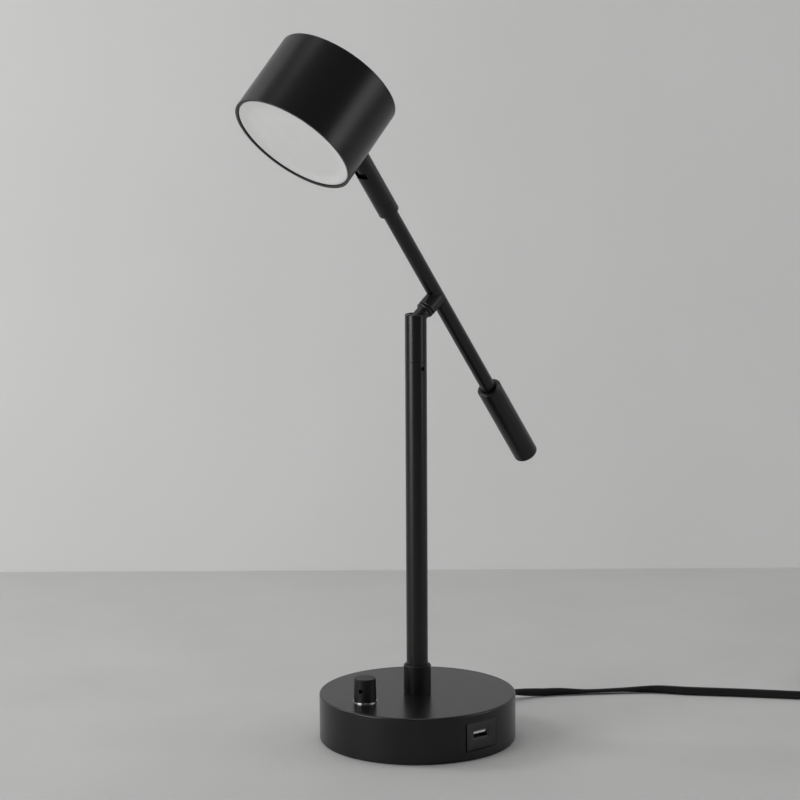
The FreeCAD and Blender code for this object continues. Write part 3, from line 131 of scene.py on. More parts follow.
def mottled(wire, scale, low, high):
    """Soft uneven patches between two values."""
    return wire.node("MapRange", None, {"Value": speckle(wire, scale, 4.0), "From Min": 0.3,
                                        "From Max": 0.7, "To Min": low, "To Max": high})


def blended(wire, factor, first, second):
    """A colour between two colours."""
    return wire.node("Mix", {"data_type": "RGBA"}, {0: factor, 6: (*first, 1), 7: (*second, 1)},
                     output=2)


def patchy(shader, wire, scale, first, second):
    """Lets a finish's colour drift softly between two colours."""
    feed(shader, "Base Color", blended(wire, mottled(wire, scale, 0, 1), first, second))


def bumped(shader, wire, height, strength, depth, edge=None):
    """Presses a height pattern into a finish, whose sharp edges may be rounded first."""
    sockets = {"Strength": strength, "Distance": depth, "Height": height}
    if edge:
        sockets["Normal"] = edge
    feed(shader, "Normal", wire.node("Bump", None, sockets))


SHARP_EDGE = math.radians(38)


def mesh_object(name, points, faces, material):
    """A mesh piece in the row frame, in metres."""
    mesh = bpy.data.meshes.new(name)
    mesh.from_pydata([tuple(point) for point in points], [], faces)
    mesh.update()
    for polygon in mesh.polygons:
        polygon.use_smooth = True
    mesh.set_sharp_from_angle(angle=SHARP_EDGE)
    mesh.materials.append(material)
    made = bpy.data.objects.new(name, mesh)
    scene.collection.objects.link(made)
    return made


FLOOR_REACH = 6
floor_finish, floor_shader, wire = new_finish("pale_floor", (0.47, 0.47, 0.467), 0.75)
patchy(floor_shader, wire, 9.0, (0.455, 0.455, 0.452), (0.485, 0.485, 0.482))
bumped(floor_shader, wire, mottled(wire, 160.0, 0, 1), 0.12, 0.0006)
floor_corners = [(-FLOOR_REACH, -FLOOR_REACH, 0), (FLOOR_REACH, -FLOOR_REACH, 0),
                 (FLOOR_REACH, FLOOR_REACH, 0), (-FLOOR_REACH, FLOOR_REACH, 0)]
floor = mesh_object("floor", floor_corners, [(0, 1, 2, 3)], floor_finish)

WALL_BEHIND = 0.53
WALL_REACH = 5
WALL_HEIGHT = 4
wall_finish, wall_shader, wire = new_finish("pale_wall", (0.70, 0.70, 0.696), 0.9)
patchy(wall_shader, wire, 5.0, (0.69, 0.69, 0.686), (0.71, 0.71, 0.706))
wall_back = wire.node("BsdfTransparent")
wall_face = Wire(wire.tree, wall_shader.outputs[0])
from_behind = wire.node("NewGeometry", output="Backfacing")
wall_mix = wire.node("MixShader", None, {0: from_behind, 1: wall_face, 2: wall_back})
wire.tree.links.new(wall_mix.socket, wire.tree.nodes["Material Output"].inputs["Surface"])
wall_corners = [(-WALL_REACH, WALL_BEHIND, 0), (WALL_REACH, WALL_BEHIND, 0),
                (WALL_REACH, WALL_BEHIND, WALL_HEIGHT), (-WALL_REACH, WALL_BEHIND, WALL_HEIGHT)]
wall = mesh_object("wall", [turn_to_camera @ Vector(corner) for corner in wall_corners],
                   [(0, 1, 2, 3)], wall_finish)

world = bpy.data.worlds.new("studio")
world.use_nodes = True
background = world.node_tree.nodes["Background"]
background.inputs["Color"].default_value = (1, 1, 1, 1)
background.inputs["Strength"].default_value = 0.19
scene.world = world


def softbox(name, azimuth, distance, height, width, length, power, aim):
    """A rectangular soft light that faces the lamp's axis at a height, the aim.

    Its azimuth is counted from the camera, to the right.
    """
    lamp = bpy.data.lights.new(name, "AREA")
    lamp.shape = "RECTANGLE"
    lamp.size = width
    lamp.size_y = length
    lamp.energy = power
    made = bpy.data.objects.new(name, lamp)
    scene.collection.objects.link(made)
    angle = math.radians(azimuth)
    place = turn_to_camera @ Vector((math.sin(angle) * distance, -math.cos(angle) * distance,
                                     height))
    made.location = place
    made.rotation_euler = (Vector((0, 0, aim)) - place).to_track_quat("-Z", "Y").to_euler()


softbox("left_softbox", azimuth=-57, distance=1.5, height=0.40, width=0.82, length=0.74,
        power=13.3, aim=0.40)
softbox("left_rear_softbox", azimuth=-104, distance=1.5, height=1.16, width=0.4, length=0.9,
        power=10, aim=0.7)
softbox("right_softbox", azimuth=68, distance=1.6, height=0.40, width=0.55, length=0.74,
        power=2.8, aim=0.40)
softbox("right_rear_softbox", azimuth=94, distance=1.6, height=0.75, width=0.4, length=0.9,
        power=3.8, aim=0.5)
softbox("top_softbox", azimuth=190, distance=0.25, height=2.3, width=1.7, length=0.8,
        power=14, aim=0.25)

# Foot. A disc of dense black rubber foam under the steel plate. It is die-cut, so its edge is
# a little ragged, and it is squeezed thinner round the rim.
FOOT_RADIUS = 0.0692
FOOT_THICKNESS = 0.0015
FOOT_AROUND = 240
RIM_LEVELS = (0, 0.35, 0.75, 1)
RIM_SQUEEZE = 0.00015
COARSE_RAGS = 0.00016
COARSE_WAVES = 14
FINE_RAGS = 0.00012
FINE_WAVES = 55


def band(low, high, around):
    """The faces between two rings, given the number of each ring's first point."""
    return [(low + step, low + (step + 1) % around, high + (step + 1) % around, high + step)
            for step in range(around)]


foam, foam_shader, wire = new_finish("foot_foam", (0.010, 0.010, 0.010), 0.95)
coordinates = wire.node("TexCoord", output="Object")
cells = wire.node("TexVoronoi", None, {"Vector": coordinates, "Scale": 1700.0})
feed(foam_shader, "Base Color", blended(wire, cells, (0.006, 0.006, 0.006), (0.018, 0.018, 0.018)))
bumped(foam_shader, wire, cells, 0.8, 0.0002)
points = [Vector((0, 0, 0)), Vector((0, 0, FOOT_THICKNESS))]
for level in RIM_LEVELS:
    for step in range(FOOT_AROUND):
        angle = 2 * math.pi * step / FOOT_AROUND
        spoke = Vector((math.cos(angle), math.sin(angle), 0))
        ragged = COARSE_RAGS * (1 + noise.noise(spoke * COARSE_WAVES + Vector((0, 0, 3 * level))))
        ragged += FINE_RAGS * (1 + noise.noise(spoke * FINE_WAVES + Vector((0, 0, 5 * level))))
        bulge = -RIM_SQUEEZE if level in (0, 1) else 0
        points.append(spoke * (FOOT_RADIUS - ragged + bulge)
                      + Vector((0, 0, FOOT_THICKNESS * level)))
first_ring = 2
last_ring = first_ring + (len(RIM_LEVELS) - 1) * FOOT_AROUND
faces = []
for step in range(FOOT_AROUND):
    ahead = (step + 1) % FOOT_AROUND
    faces.append((0, first_ring + ahead, first_ring + step))
    faces.append((1, last_ring + step, last_ring + ahead))
for low in range(first_ring, last_ring, FOOT_AROUND):
    faces += band(low, low + FOOT_AROUND, FOOT_AROUND)
foot = mesh_object("foot", points, faces, foam)
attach(foot, "base")
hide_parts("foot_pad")


def dress(material, *names):
    """Gives CAD nodes a finish."""
    for name in names:
        for material_slot in nodes[name].material_slots:
            material_slot.material = material


zinc, zinc_shader, wire = new_finish("zinc_plate", (0.50, 0.50, 0.49), 0.4, 1.0)
coordinates = wire.node("TexCoord", output="Object")
spangle = wire.node("TexVoronoi", None, {"Vector": coordinates, "Scale": 260.0}, output="Color")
flake = wire.node("SeparateColor", None, {"Color": spangle})
feed(zinc_shader, "Roughness", flake * 0.22 + 0.30)
feed(zinc_shader, "Base Color", blended(wire, flake, (0.42, 0.42, 0.41), (0.58, 0.58, 0.57)))
dress(zinc, "bottom_plate", "plate_screws", "stem_nipple", "stem_washer", "stem_nut")

# Ballast. A disc of grey cast iron that lies on the bottom plate, as it comes from the sand:
# coarse, dull and a little rusty.
iron, iron_shader, wire = new_finish("cast_iron", (0.09, 0.09, 0.09), 0.72, 0.5)
sand = mottled(wire, 900.0, 0, 1)
rust = mottled(wire, 60.0, -0.6, 1)
rusted = wire.node("Clamp", None, {"Value": rust * 0.5})
feed(iron_shader, "Base Color", blended(wire, rusted, (0.085, 0.085, 0.088), (0.16, 0.075, 0.04)))
bumped(iron_shader, wire, sand, 0.7, 0.0003)
dress(iron, "ballast")


# Base cover. Drawn steel sprayed satin black, with a fine orange-peel ripple. The paint is
# rubbed a little smoother along its edges, and the sharp ones have a small round.
def rounded(wire, radius):
    """The surface's direction with its sharp edges rounded."""
    return wire.node("Bevel", {"samples": 4}, {"Radius": radius})


def satin_paint(name, colour, roughness, ripple=0.05, edge=0.00035, gloss=0.34):
    """Sprayed paint. Gives the finish."""
    finish, shader, wire = new_finish(name, colour, roughness)
    place = wire.node("TexCoord", output="Object")
    peel = wire.node("TexNoise", None, {"Vector": place, "Scale": 1300.0, "Detail": 2.0})
    grain = wire.node("TexNoise", None, {"Vector": place, "Scale": 5200.0, "Detail": 1.0})
    bloom = mottled(wire, 34.0, -1, 1)
    soft_edge = rounded(wire, edge)
    flat = wire.node("NewGeometry", output="Normal")
    facing = wire.node("VectorMath", {"operation": "DOT_PRODUCT"}, {0: soft_edge, 1: flat},
                       output="Value")
    rubbed = wire.node("Clamp", None, {"Value": (1 - facing) * 4})
    dust = wire.node("Clamp", None, {"Value": (grain - 0.66) * 5})
    shader.inputs["Specular IOR Level"].default_value = gloss
    dusty = tuple(part * 1.9 for part in colour)
    feed(shader, "Base Color", blended(wire, dust, colour, dusty))
    feed(shader, "Roughness", roughness + bloom * 0.008 + peel * 0.04 - rubbed * 0.10)
    bumped(shader, wire, peel + grain * 0.4, ripple, 0.00008, soft_edge)
    return finish


paint = satin_paint("satin_black_paint", (0.0050, 0.0050, 0.0052), 0.24)
dress(paint, "base_cover")

# Socket. A moulded black panel in the cover's window, and a USB-A receptacle in it: a tinned
# steel shell, a white tongue with four gilded contacts, and the small board that carries it.
PANEL_FACE = 0.068586
PANEL_BACK = 0.064586
PANEL_HALF_WIDTH = 0.0140
PANEL_LOW = 0.0068
PANEL_HIGH = 0.0268
PANEL_GROOVE = 0.0012
FLANGE_FACE = 0.066133
FLANGE_BACK = 0.064733
FLANGE_HALF_WIDTH = 0.0154
FLANGE_INSET = 0.0005
PORT_HALF_WIDTH = 0.00662
PORT_HALF_HEIGHT = 0.00287
PORT_MIDDLE = 0.0177
TONGUE_FRONT = 0.067186
TONGUE_BACK = 0.054336
TONGUE_HALF_WIDTH = 0.00555
TONGUE_LOW = 0.01805
TONGUE_HIGH = 0.01950
EDGE_ROUND = 0.0004
EDGE_STEP = 0.0001
socket_place = Matrix.Rotation(math.radians(317), 4, "Z")


def framed(name, loops, material, pierced=True):
    """A piece from rectangles (x, low y, high y, low z, high z), each joined to the next."""
    points = []
    for x, y0, y1, z0, z1 in loops:
        corners = ((y0, z0), (y1, z0), (y1, z1), (y0, z1))
        points += [socket_place @ Vector((x, y, z)) for y, z in corners]
    faces = []
    for row in range(len(loops) if pierced else len(loops) - 1):
        faces += band(4 * row, 4 * ((row + 1) % len(loops)), 4)
    if not pierced:
        faces += [(3, 2, 1, 0), tuple(range(len(points) - 4, len(points)))]
    return mesh_object(name, points, faces, material)


def grown(box, by):
    """A rectangle with each side moved out."""
    return (box[0] - by, box[1] + by, box[2] - by, box[3] + by)


panel_plastic, panel_shader, wire = new_finish("panel_plastic", (0.0060, 0.0060, 0.0062), 0.42)
spark = speckle(wire, 3800.0, 2.0)
panel_edge = rounded(wire, 0.0003)
feed(panel_shader, "Roughness", spark * 0.16 + 0.36)
bumped(panel_shader, wire, spark, 0.25, 0.00006, panel_edge)
rear = (-PANEL_HALF_WIDTH, PANEL_HALF_WIDTH, PANEL_LOW, PANEL_HIGH)
front = (PANEL_GROOVE - PANEL_HALF_WIDTH, PANEL_HALF_WIDTH, PANEL_LOW, PANEL_HIGH)
flange = (-FLANGE_HALF_WIDTH, FLANGE_HALF_WIDTH, PANEL_LOW + FLANGE_INSET,
          PANEL_HIGH - FLANGE_INSET)
port = (-PORT_HALF_WIDTH, PORT_HALF_WIDTH, PORT_MIDDLE - PORT_HALF_HEIGHT,
        PORT_MIDDLE + PORT_HALF_HEIGHT)
panel = framed("usb_panel", [
    (PANEL_BACK, *rear), (FLANGE_BACK, *rear),
    (FLANGE_BACK, *flange), (FLANGE_FACE, *flange),
    (FLANGE_FACE, *front), (PANEL_FACE - EDGE_ROUND, *front),
    (PANEL_FACE - EDGE_STEP, *grown(front, -EDGE_STEP)), (PANEL_FACE, *grown(front, -EDGE_ROUND)),
    (PANEL_FACE, *grown(port, EDGE_ROUND)), (PANEL_FACE - 2 * EDGE_STEP, *grown(port, EDGE_STEP)),
    (PANEL_FACE - 5 * EDGE_STEP, *port), (PANEL_BACK, *port)], panel_plastic)
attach(panel, "base")
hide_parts("socket_panel")

# The shell's tin is painted much darker than bright tin: painted shade for the deep port round the
# tongue.
shaded_tin, shaded_tin_shader, wire = new_finish("tin_shell_painted_shade", (0.20, 0.20, 0.20), 0.42, 1.0)
feed(shaded_tin_shader, "Roughness", mottled(wire, 700.0, 0.36, 0.50))
dress(shaded_tin, "socket_shell")

tongue_plastic, tongue_shader, wire = new_finish("tongue_plastic", (0.74, 0.74, 0.72), 0.38)
patchy(tongue_shader, wire, 800.0, (0.70, 0.70, 0.68), (0.78, 0.78, 0.76))
across = (-TONGUE_HALF_WIDTH, TONGUE_HALF_WIDTH, TONGUE_LOW, TONGUE_HIGH)
tongue = framed("usb_tongue", [
    (TONGUE_BACK, *across), (TONGUE_FRONT - EDGE_ROUND, *across),
    (TONGUE_FRONT - EDGE_STEP, *grown(across, -EDGE_STEP)),
    (TONGUE_FRONT, *grown(across, -EDGE_ROUND))], tongue_plastic, pierced=False)
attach(tongue, "base")
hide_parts("socket_tongue")

gilt, gilt_shader, wire = new_finish("gilt_contacts", (0.78, 0.58, 0.26), 0.28, 1.0)
feed(gilt_shader, "Roughness", mottled(wire, 2400.0, 0.18, 0.42))
dress(gilt, "socket_contacts")

board, board_shader, wire = new_finish("circuit_board", (0.015, 0.10, 0.045), 0.36)
coordinates = wire.node("TexCoord", output="Object")
tracks = wire.node("TexBrick", {"offset": 0.5, "squash": 0.6}, {
    "Vector": coordinates, "Scale": 190.0, "Mortar Size": 0.06, "Mortar Smooth": 0.2,
    "Color1": (0, 0, 0, 1), "Color2": (0.15, 0.15, 0.15, 1), "Mortar": (1, 1, 1, 1)})
feed(board_shader, "Base Color", blended(wire, tracks, (0.012, 0.085, 0.038), (0.035, 0.20, 0.085)))
dress(board, "socket_board", "driver_board")

# Driver. A grey insulating tray on the ballast, with the transformer, the capacitors and the
# terminal block on its board.
tray_plastic, tray_shader, wire = new_finish("tray_plastic", (0.24, 0.24, 0.24), 0.5)
feed(tray_shader, "Roughness", mottled(wire, 1500.0, 0.42, 0.58))
dress(tray_plastic, "driver_tray")
wrapped, wrapped_shader, wire = new_finish("driver_wrap", (0.05, 0.05, 0.055), 0.45)
patchy(wrapped_shader, wire, 120.0, (0.03, 0.03, 0.033), (0.09, 0.085, 0.07))
dress(wrapped, "driver_parts", "dimmer_body")

# Dimmer. A bright nickelled washer and nut hold it under the cover. The knob is turned from
# aluminium and anodised black, with fine tool marks round it and a grub screw in its side.
KNOB_AZIMUTH = 221
KNOB_OUT = 0.0445
BASE_HEIGHT = 0.0335
KNOB_GRUB_AZIMUTH = 255
KNOB_GRUB_HEIGHT = 0.0088


def link(x=0.0, z=0.0, axis="Z", degrees=0.0):
    """One link in a chain of frames, a shift and then a turn."""
    return Matrix.Translation((x, 0, z)) @ Matrix.Rotation(math.radians(degrees), 4, axis)


def turning_marks(wire, place, fine):
    """Fine rings that a lathe leaves, across the face and along the side, round a frame's Z."""
    coordinates = wire.node("TexCoord", output="Object")
    back = place.inverted()
    shifted = wire.node("Mapping", None, {"Vector": coordinates, "Location": back.translation,
                                          "Rotation": back.to_euler()})
    flat = wire.node("VectorMath", {"operation": "MULTIPLY"}, {0: shifted, 1: (1, 1, 0)})
    radius = wire.node("VectorMath", {"operation": "LENGTH"}, {0: flat}, output="Value")
    height = wire.node("SeparateXYZ", None, {"Vector": shifted}, output="Z")
    return wire.node("TexNoise", {"noise_dimensions": "1D"},
                     {"W": (radius + height) * fine, "Scale": 1.0, "Detail": 3.0})


knob_place = link(degrees=KNOB_AZIMUTH) @ link(x=KNOB_OUT, z=BASE_HEIGHT)
nickel, nickel_shader, wire = new_finish("bright_nickel", (0.72, 0.71, 0.69), 0.2, 1.0)
marks = turning_marks(wire, knob_place, 5000.0)
feed(nickel_shader, "Roughness", marks * 0.22 + 0.12)
bumped(nickel_shader, wire, marks, 0.15, 0.00003)
dress(nickel, "knob_washer", "dimmer_nut", "dimmer_shaft")

anodised, anodised_shader, wire = new_finish("anodised_knob", (0.0040, 0.0040, 0.0043), 0.40)
anodised_shader.inputs["Specular IOR Level"].default_value = 0.24
marks = turning_marks(wire, knob_place, 2600.0)
knob_edge = rounded(wire, 0.0003)
feed(anodised_shader, "Roughness", marks * 0.14 + 0.32)
bumped(anodised_shader, wire, marks, 0.22, 0.00004, knob_edge)
dress(anodised, "knob")

SCREW_RADIUS = 0.00145
SCREW_AROUND = 36
SCREW_POINT = 0.0003
SCREW_CHAMFER = 0.0002
SOCKET_HALF_FLATS = 0.00075
SOCKET_DEPTH = 0.0011
DRILL_POINT = 0.0002
oxide, oxide_shader, wire = new_finish("black_oxide_steel", (0.016, 0.016, 0.017), 0.38, 0.7)
feed(oxide_shader, "Roughness", mottled(wire, 2200.0, 0.30, 0.48))


def grub_screw(name, place, tip, face, body, node):
    """An M3 grub screw with a hexagon socket. The frame's Z points out of the hole."""
    depth = min(SOCKET_DEPTH, 0.6 * (face - tip))
    rings = [(SCREW_RADIUS - SCREW_POINT, tip), (SCREW_RADIUS, tip + SCREW_POINT),
             (SCREW_RADIUS, face - SCREW_CHAMFER), (SCREW_RADIUS - SCREW_CHAMFER, face)]
    points = []
    for ring_radius, height in rings:
        for step in range(SCREW_AROUND):
            angle = 2 * math.pi * step / SCREW_AROUND
            points.append(place @ Vector((ring_radius * math.cos(angle),
                                          ring_radius * math.sin(angle), height)))
    for height in (face, face - depth):
        for step in range(SCREW_AROUND):
            angle = 2 * math.pi * step / SCREW_AROUND
            flats = SOCKET_HALF_FLATS / math.cos(angle % (math.pi / 3) - math.pi / 6)
            points.append(place @ Vector((flats * math.cos(angle), flats * math.sin(angle),
                                          height)))
    points.append(place @ Vector((0, 0, face - depth - DRILL_POINT)))
    socket_foot = 5 * SCREW_AROUND
    last_point = 6 * SCREW_AROUND
    faces = [tuple(range(SCREW_AROUND - 1, -1, -1))]
    for low in range(0, socket_foot, SCREW_AROUND):
        faces += band(low, low + SCREW_AROUND, SCREW_AROUND)
    for step in range(SCREW_AROUND):
        faces.append((socket_foot + step, socket_foot + (step + 1) % SCREW_AROUND, last_point))
    made = mesh_object(name, points, faces, oxide)
    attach(made, body)
    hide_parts(node)


outward = Matrix.Rotation(math.pi / 2, 4, "Y")
knob_grub_place = knob_place @ link(z=KNOB_GRUB_HEIGHT, degrees=KNOB_GRUB_AZIMUTH - KNOB_AZIMUTH)
grub_screw("knob_grub", knob_grub_place @ outward, 0.00255, 0.0053, "dimmer_knob", "knob_screw")

# Stem. A turned collar on the nipple, then a steel pipe sprayed with the cover's paint. The
# pipe's own grub screw rides in the groove of the slotted knuckle above it and lets it swivel.
PIN_HEIGHT = 0.3005
STEM_SWIVEL = 46.9
STEM_GRUB_DROP = 0.0333
stem_place = link(z=PIN_HEIGHT, degrees=STEM_SWIVEL)
collar_paint = satin_paint("collar_paint", (0.0032, 0.0032, 0.0034), 0.42, ripple=0.10, gloss=0.22)
dress(collar_paint, "stem_collar")
dress(paint, "stem_tube", "stem_knuckle")
dress(oxide, "stem_pin")
sideways = Matrix.Rotation(-math.pi / 2, 4, "X")
stem_grub_place = stem_place @ link(z=-STEM_GRUB_DROP, degrees=180)
grub_screw("stem_grub", stem_grub_place @ sideways, 0.00465, 0.00645, "base", "stem_swivel_screw")

# Neck and arm. The neck is pinned in the stem's slot and tilts; the stub turns on it, is
# saddled to the arm's tube and screwed into a plug inside it. All are steel in the same paint.
NECK_TILT = 50.9
STUB_REACH = 0.025
ARM_TURN = 7.25
ARM_GRUB_ALONG = 0.0076
ARM_GRUB_ROUND = 150
RING_GRUB_ALONG = 0.0878
neck_place = stem_place @ link(axis="Y", degrees=NECK_TILT)
arm_place = neck_place @ link(z=STUB_REACH, degrees=ARM_TURN)
neck_paint = satin_paint("neck_paint", (0.0060, 0.0060, 0.0062), 0.36, edge=0.0005)
dress(neck_paint, "arm_neck", "arm_stub")
dress(paint, "arm_rod", "arm_ring")
dress(zinc, "arm_plug")
grub_screw("arm_grub", arm_place @ link(x=-ARM_GRUB_ALONG, axis="X", degrees=ARM_GRUB_ROUND),
           0.00285, 0.00415, "arm", "arm_screw")
grub_screw("ring_grub", arm_place @ link(x=-RING_GRUB_ALONG) @ sideways,
           0.00285, 0.0062, "arm", "ring_screw")

# Counterweight. A solid turned bar on the arm's lower end, in the same paint, bored with a
# wider mouth round the tube and held by one grub screw on its far side.
WEIGHT_START = 0.0942
WEIGHT_GRUB_ALONG = 0.013
weight_place = arm_place @ link(x=WEIGHT_START, axis="Y", degrees=90)
dress(paint, "counterweight")
grub_screw("weight_grub", weight_place @ link(z=WEIGHT_GRUB_ALONG) @ sideways,
           0.00385, 0.00775, "arm", "weight_screw")

# Head joint. A second slotted knuckle turns in the arm's ring, and the head's neck is pinned
# in its slot. A stub is saddled to the shade, and a nut holds it from inside.
HEAD_REACH = 0.1211
HEAD_TURN = 1.6
HEAD_TILT = 7.3
HEAD_STUB = 0.020
SHADE_RADIUS = 0.0442
head_turned = Matrix.Rotation(math.pi, 4, Vector((1, 0, -1)))
head_place = arm_place @ link(x=-HEAD_REACH) @ head_turned @ link(degrees=HEAD_TURN)
lamp_place = head_place @ link(axis="Y", degrees=HEAD_TILT)
shade_place = lamp_place @ link(z=HEAD_STUB + SHADE_RADIUS, axis="Y", degrees=90)
dress(paint, "head_knuckle", "head_neck", "head_stub")
dress(oxide, "head_pin")
dress(zinc, "head_nut")

# Shade. A drum spun from sheet aluminium and closed at the back. Its paint is the same black,
# a touch duller and with more ripple.
shade_paint = satin_paint("shade_paint", (0.0048, 0.0048, 0.0050), 0.28, ripple=0.08)
dress(shade_paint, "shade")

# Lamp. A brushed aluminium plate on three bosses in the shade, a white circuit board on it,
# and eighteen LEDs with yellow phosphor.
brushed, brushed_shader, wire = new_finish("brushed_aluminium", (0.68, 0.68, 0.68), 0.35, 1.0)
marks = turning_marks(wire, shade_place, 1800.0)
feed(brushed_shader, "Roughness", marks * 0.3 + 0.2)
dress(brushed, "heat_spreader")
dress(zinc, "lamp_screws")
white_board, white_shader, wire = new_finish("white_board", (0.78, 0.78, 0.77), 0.35)
patchy(white_shader, wire, 250.0, (0.74, 0.74, 0.73), (0.82, 0.82, 0.81))
dress(white_board, "led_board")
phosphor, phosphor_shader, wire = new_finish("led_phosphor", (0.80, 0.68, 0.22), 0.4)
patchy(phosphor_shader, wire, 1600.0, (0.74, 0.60, 0.16), (0.86, 0.76, 0.34))
dress(phosphor, "leds")

# Diffuser. A moulded opal acrylic cover with a flat ring round a slightly sunken middle. Its
# skirt stands on the aluminium plate.
OPAL_RADIUS = 0.0423
OPAL_FACE = 0.0309
OPAL_FOOT = 0.0145
OPAL_SKIRT = 0.0012
OPAL_THICKNESS = 0.0018
OPAL_SUNK = 0.0011
OPAL_ROUND = 0.0006
OPAL_DISH = [(0.0408, 0.00008), (0.0396, 0.00025), (0.0384, 0.00046), (0.0372, 0.00068),
             (0.0360, 0.00088), (0.0348, 0.00102), (0.0336, 0.00110), (0.0320, 0.00114),
             (0.0200, 0.00116), (0, 0.00116)]


def lathe(name, outline, place, material, around=96):
    """A piece turned about a frame's Z from (radius, height) points. Radius 0 closes an end."""
    points = []
    rows = []
    for radius, height in outline:
        if radius == 0:
            rows.append([len(points)] * around)
            points.append(place @ Vector((0, 0, height)))
        else:
            rows.append([len(points) + step for step in range(around)])
            for step in range(around):
                angle = 2 * math.pi * step / around
                points.append(place @ Vector((radius * math.cos(angle), radius * math.sin(angle),
                                              height)))
    faces = []
    for low, high in zip(rows, rows[1:]):
        for step in range(around):
            ahead = (step + 1) % around
            corners = [low[step], low[ahead], high[ahead], high[step]]
            faces.append(tuple(dict.fromkeys(corners)))
    return mesh_object(name, points, faces, material)


opal, opal_shader, wire = new_finish("opal_acrylic", (0.60, 0.60, 0.595), 0.42)
cloud = mottled(wire, 110.0, 0, 1)
opal_grain = speckle(wire, 2600.0, 1.0)
feed(opal_shader, "Base Color", blended(wire, cloud, (0.59, 0.59, 0.585), (0.61, 0.61, 0.605)))
feed(opal_shader, "Roughness", opal_grain * 0.12 + 0.38)
skirt_inside = OPAL_RADIUS - OPAL_SKIRT
under_side = OPAL_FACE - OPAL_SUNK - OPAL_THICKNESS
opal_outline = [(skirt_inside, OPAL_FOOT), (OPAL_RADIUS, OPAL_FOOT),
                (OPAL_RADIUS, OPAL_FACE - OPAL_ROUND),
                (OPAL_RADIUS - OPAL_ROUND / 3, OPAL_FACE - OPAL_ROUND / 3),
                (OPAL_RADIUS - OPAL_ROUND, OPAL_FACE)]
opal_outline += [(radius, OPAL_FACE - sunk) for radius, sunk in OPAL_DISH]
opal_outline += [(0, under_side), (skirt_inside, under_side), (skirt_inside, OPAL_FOOT)]
cover = lathe("opal_cover", opal_outline, shade_place, opal)
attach(cover, "head")
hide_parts("diffuser")

# Lead. A flat two-core cord in black PVC, 1.8 m long. It comes out of the base behind the
# stem, rolls on edge as it goes off along the table, and the rest is coiled and tied.
CORD_WIDTH = 0.0063
CORD_THICKNESS = 0.003
CORD_LIFT = 0.0001
TIE_THICKNESS = 0.0008
COIL_GAP = 0.0006
COIL_RADIUS = 0.0468
TURNS_IN = 3.5
TURNS_OUT = 2.75
ASIDE_TURNS = 0.75
POINTS_A_TURN = 16
EXIT_AZIMUTH = 64.4
EXIT_HEIGHT = 0.0095
RELIEF_TIP = 0.090
STRAIGHT_TO = 0.105
OVER_TURNS = 0.028
LAST_TURN_TO_PLUG = 0.0792
PLUG_RUN_UP = 0.030
OUTER_TURN_OPENS = 0.0225
PLUG_THICKNESS = 0.013
on_edge = CORD_WIDTH / 2 + CORD_LIFT
exit_angle = math.radians(EXIT_AZIMUTH)
exit_way = Vector((math.cos(exit_angle), math.sin(exit_angle), 0))
cord_exit = exit_way * RELIEF_TIP + Vector((0, 0, EXIT_HEIGHT))
route = [
    cord_exit,
    exit_way * STRAIGHT_TO + Vector((0, 0, EXIT_HEIGHT)),
    Vector((0.0555, 0.1040, 0.0058)),
    Vector((0.0806, 0.1160, 0.0030)),
    Vector((0.1097, 0.1245, 0.0021)),
    Vector((0.1590, 0.1352, 0.0030)),
    Vector((0.1875, 0.1308, on_edge)),
    Vector((0.2163, 0.1306, on_edge)),
    Vector((0.2472, 0.1296, on_edge)),
    Vector((0.2777, 0.1276, on_edge)),
    Vector((0.3050, 0.1287, on_edge)),
    Vector((0.3320, 0.1294, on_edge + TIE_THICKNESS)),
]

# The coil winds in, climbs in the half turn before its spiral reverses, and winds out on top.
coil_low = on_edge + TIE_THICKNESS + COIL_GAP
pitch = CORD_WIDTH + COIL_GAP
entry_way = (route[-1] - route[-2]).normalized()
coil_start = route[-1] + entry_way * CORD_WIDTH
coil_centre = coil_start + Vector((-entry_way.y, entry_way.x, 0)).normalized() * COIL_RADIUS
coil_centre.z = 0
start_angle = math.atan2(coil_start.y - coil_centre.y, coil_start.x - coil_centre.x)
outside = 1 / math.cos(math.pi / POINTS_A_TURN)
for count in range(1, int(POINTS_A_TURN * (TURNS_IN + TURNS_OUT)) + 1):
    turns = count / POINTS_A_TURN
    climb = min(max(2 * (turns - TURNS_IN) + 1, 0), 1)
    aside = min(max((turns - TURNS_IN) / ASIDE_TURNS, 0), 1)
    radius = COIL_RADIUS - pitch * min(turns, 2 * TURNS_IN - turns) + pitch / 2 * aside
    angle = start_angle + 2 * math.pi * turns
    ring = Vector((math.cos(angle), math.sin(angle), 0)) * radius * outside
    height = coil_low + pitch * climb * climb * (3 - 2 * climb)
    route.append(coil_centre + ring + Vector((0, 0, height)))
outward_way = Vector((math.cos(angle), math.sin(angle), 0))
round_way = Vector((-math.sin(angle), math.cos(angle), 0))
plug_way = (round_way + outward_way * OUTER_TURN_OPENS).normalized()
plug_back = coil_centre + outward_way * radius + plug_way * LAST_TURN_TO_PLUG
plug_back.z = PLUG_THICKNESS / 2
route.append(route[-1] + plug_way * OVER_TURNS)
route.append(plug_back - plug_way * PLUG_RUN_UP)
route.append(plug_back - plug_way * CORD_WIDTH)
route.append(plug_back)

guide = bpy.data.curves.new("lead_guide", "CURVE")
guide.dimensions = "3D"
spline = guide.splines.new("NURBS")
spline.points.add(len(route) - 1)
for control, point in zip(spline.points, route):
    control.co = (*point, 1)
spline.order_u = 3
spline.use_endpoint_u = True
spline.resolution_u = 6
guide_object = bpy.data.objects.new("lead_guide", guide)
scene.collection.objects.link(guide_object)
line_mesh = bpy.data.meshes.new_from_object(guide_object)
line = [Vector(vertex.co) for vertex in line_mesh.vertices]
bpy.data.objects.remove(guide_object)

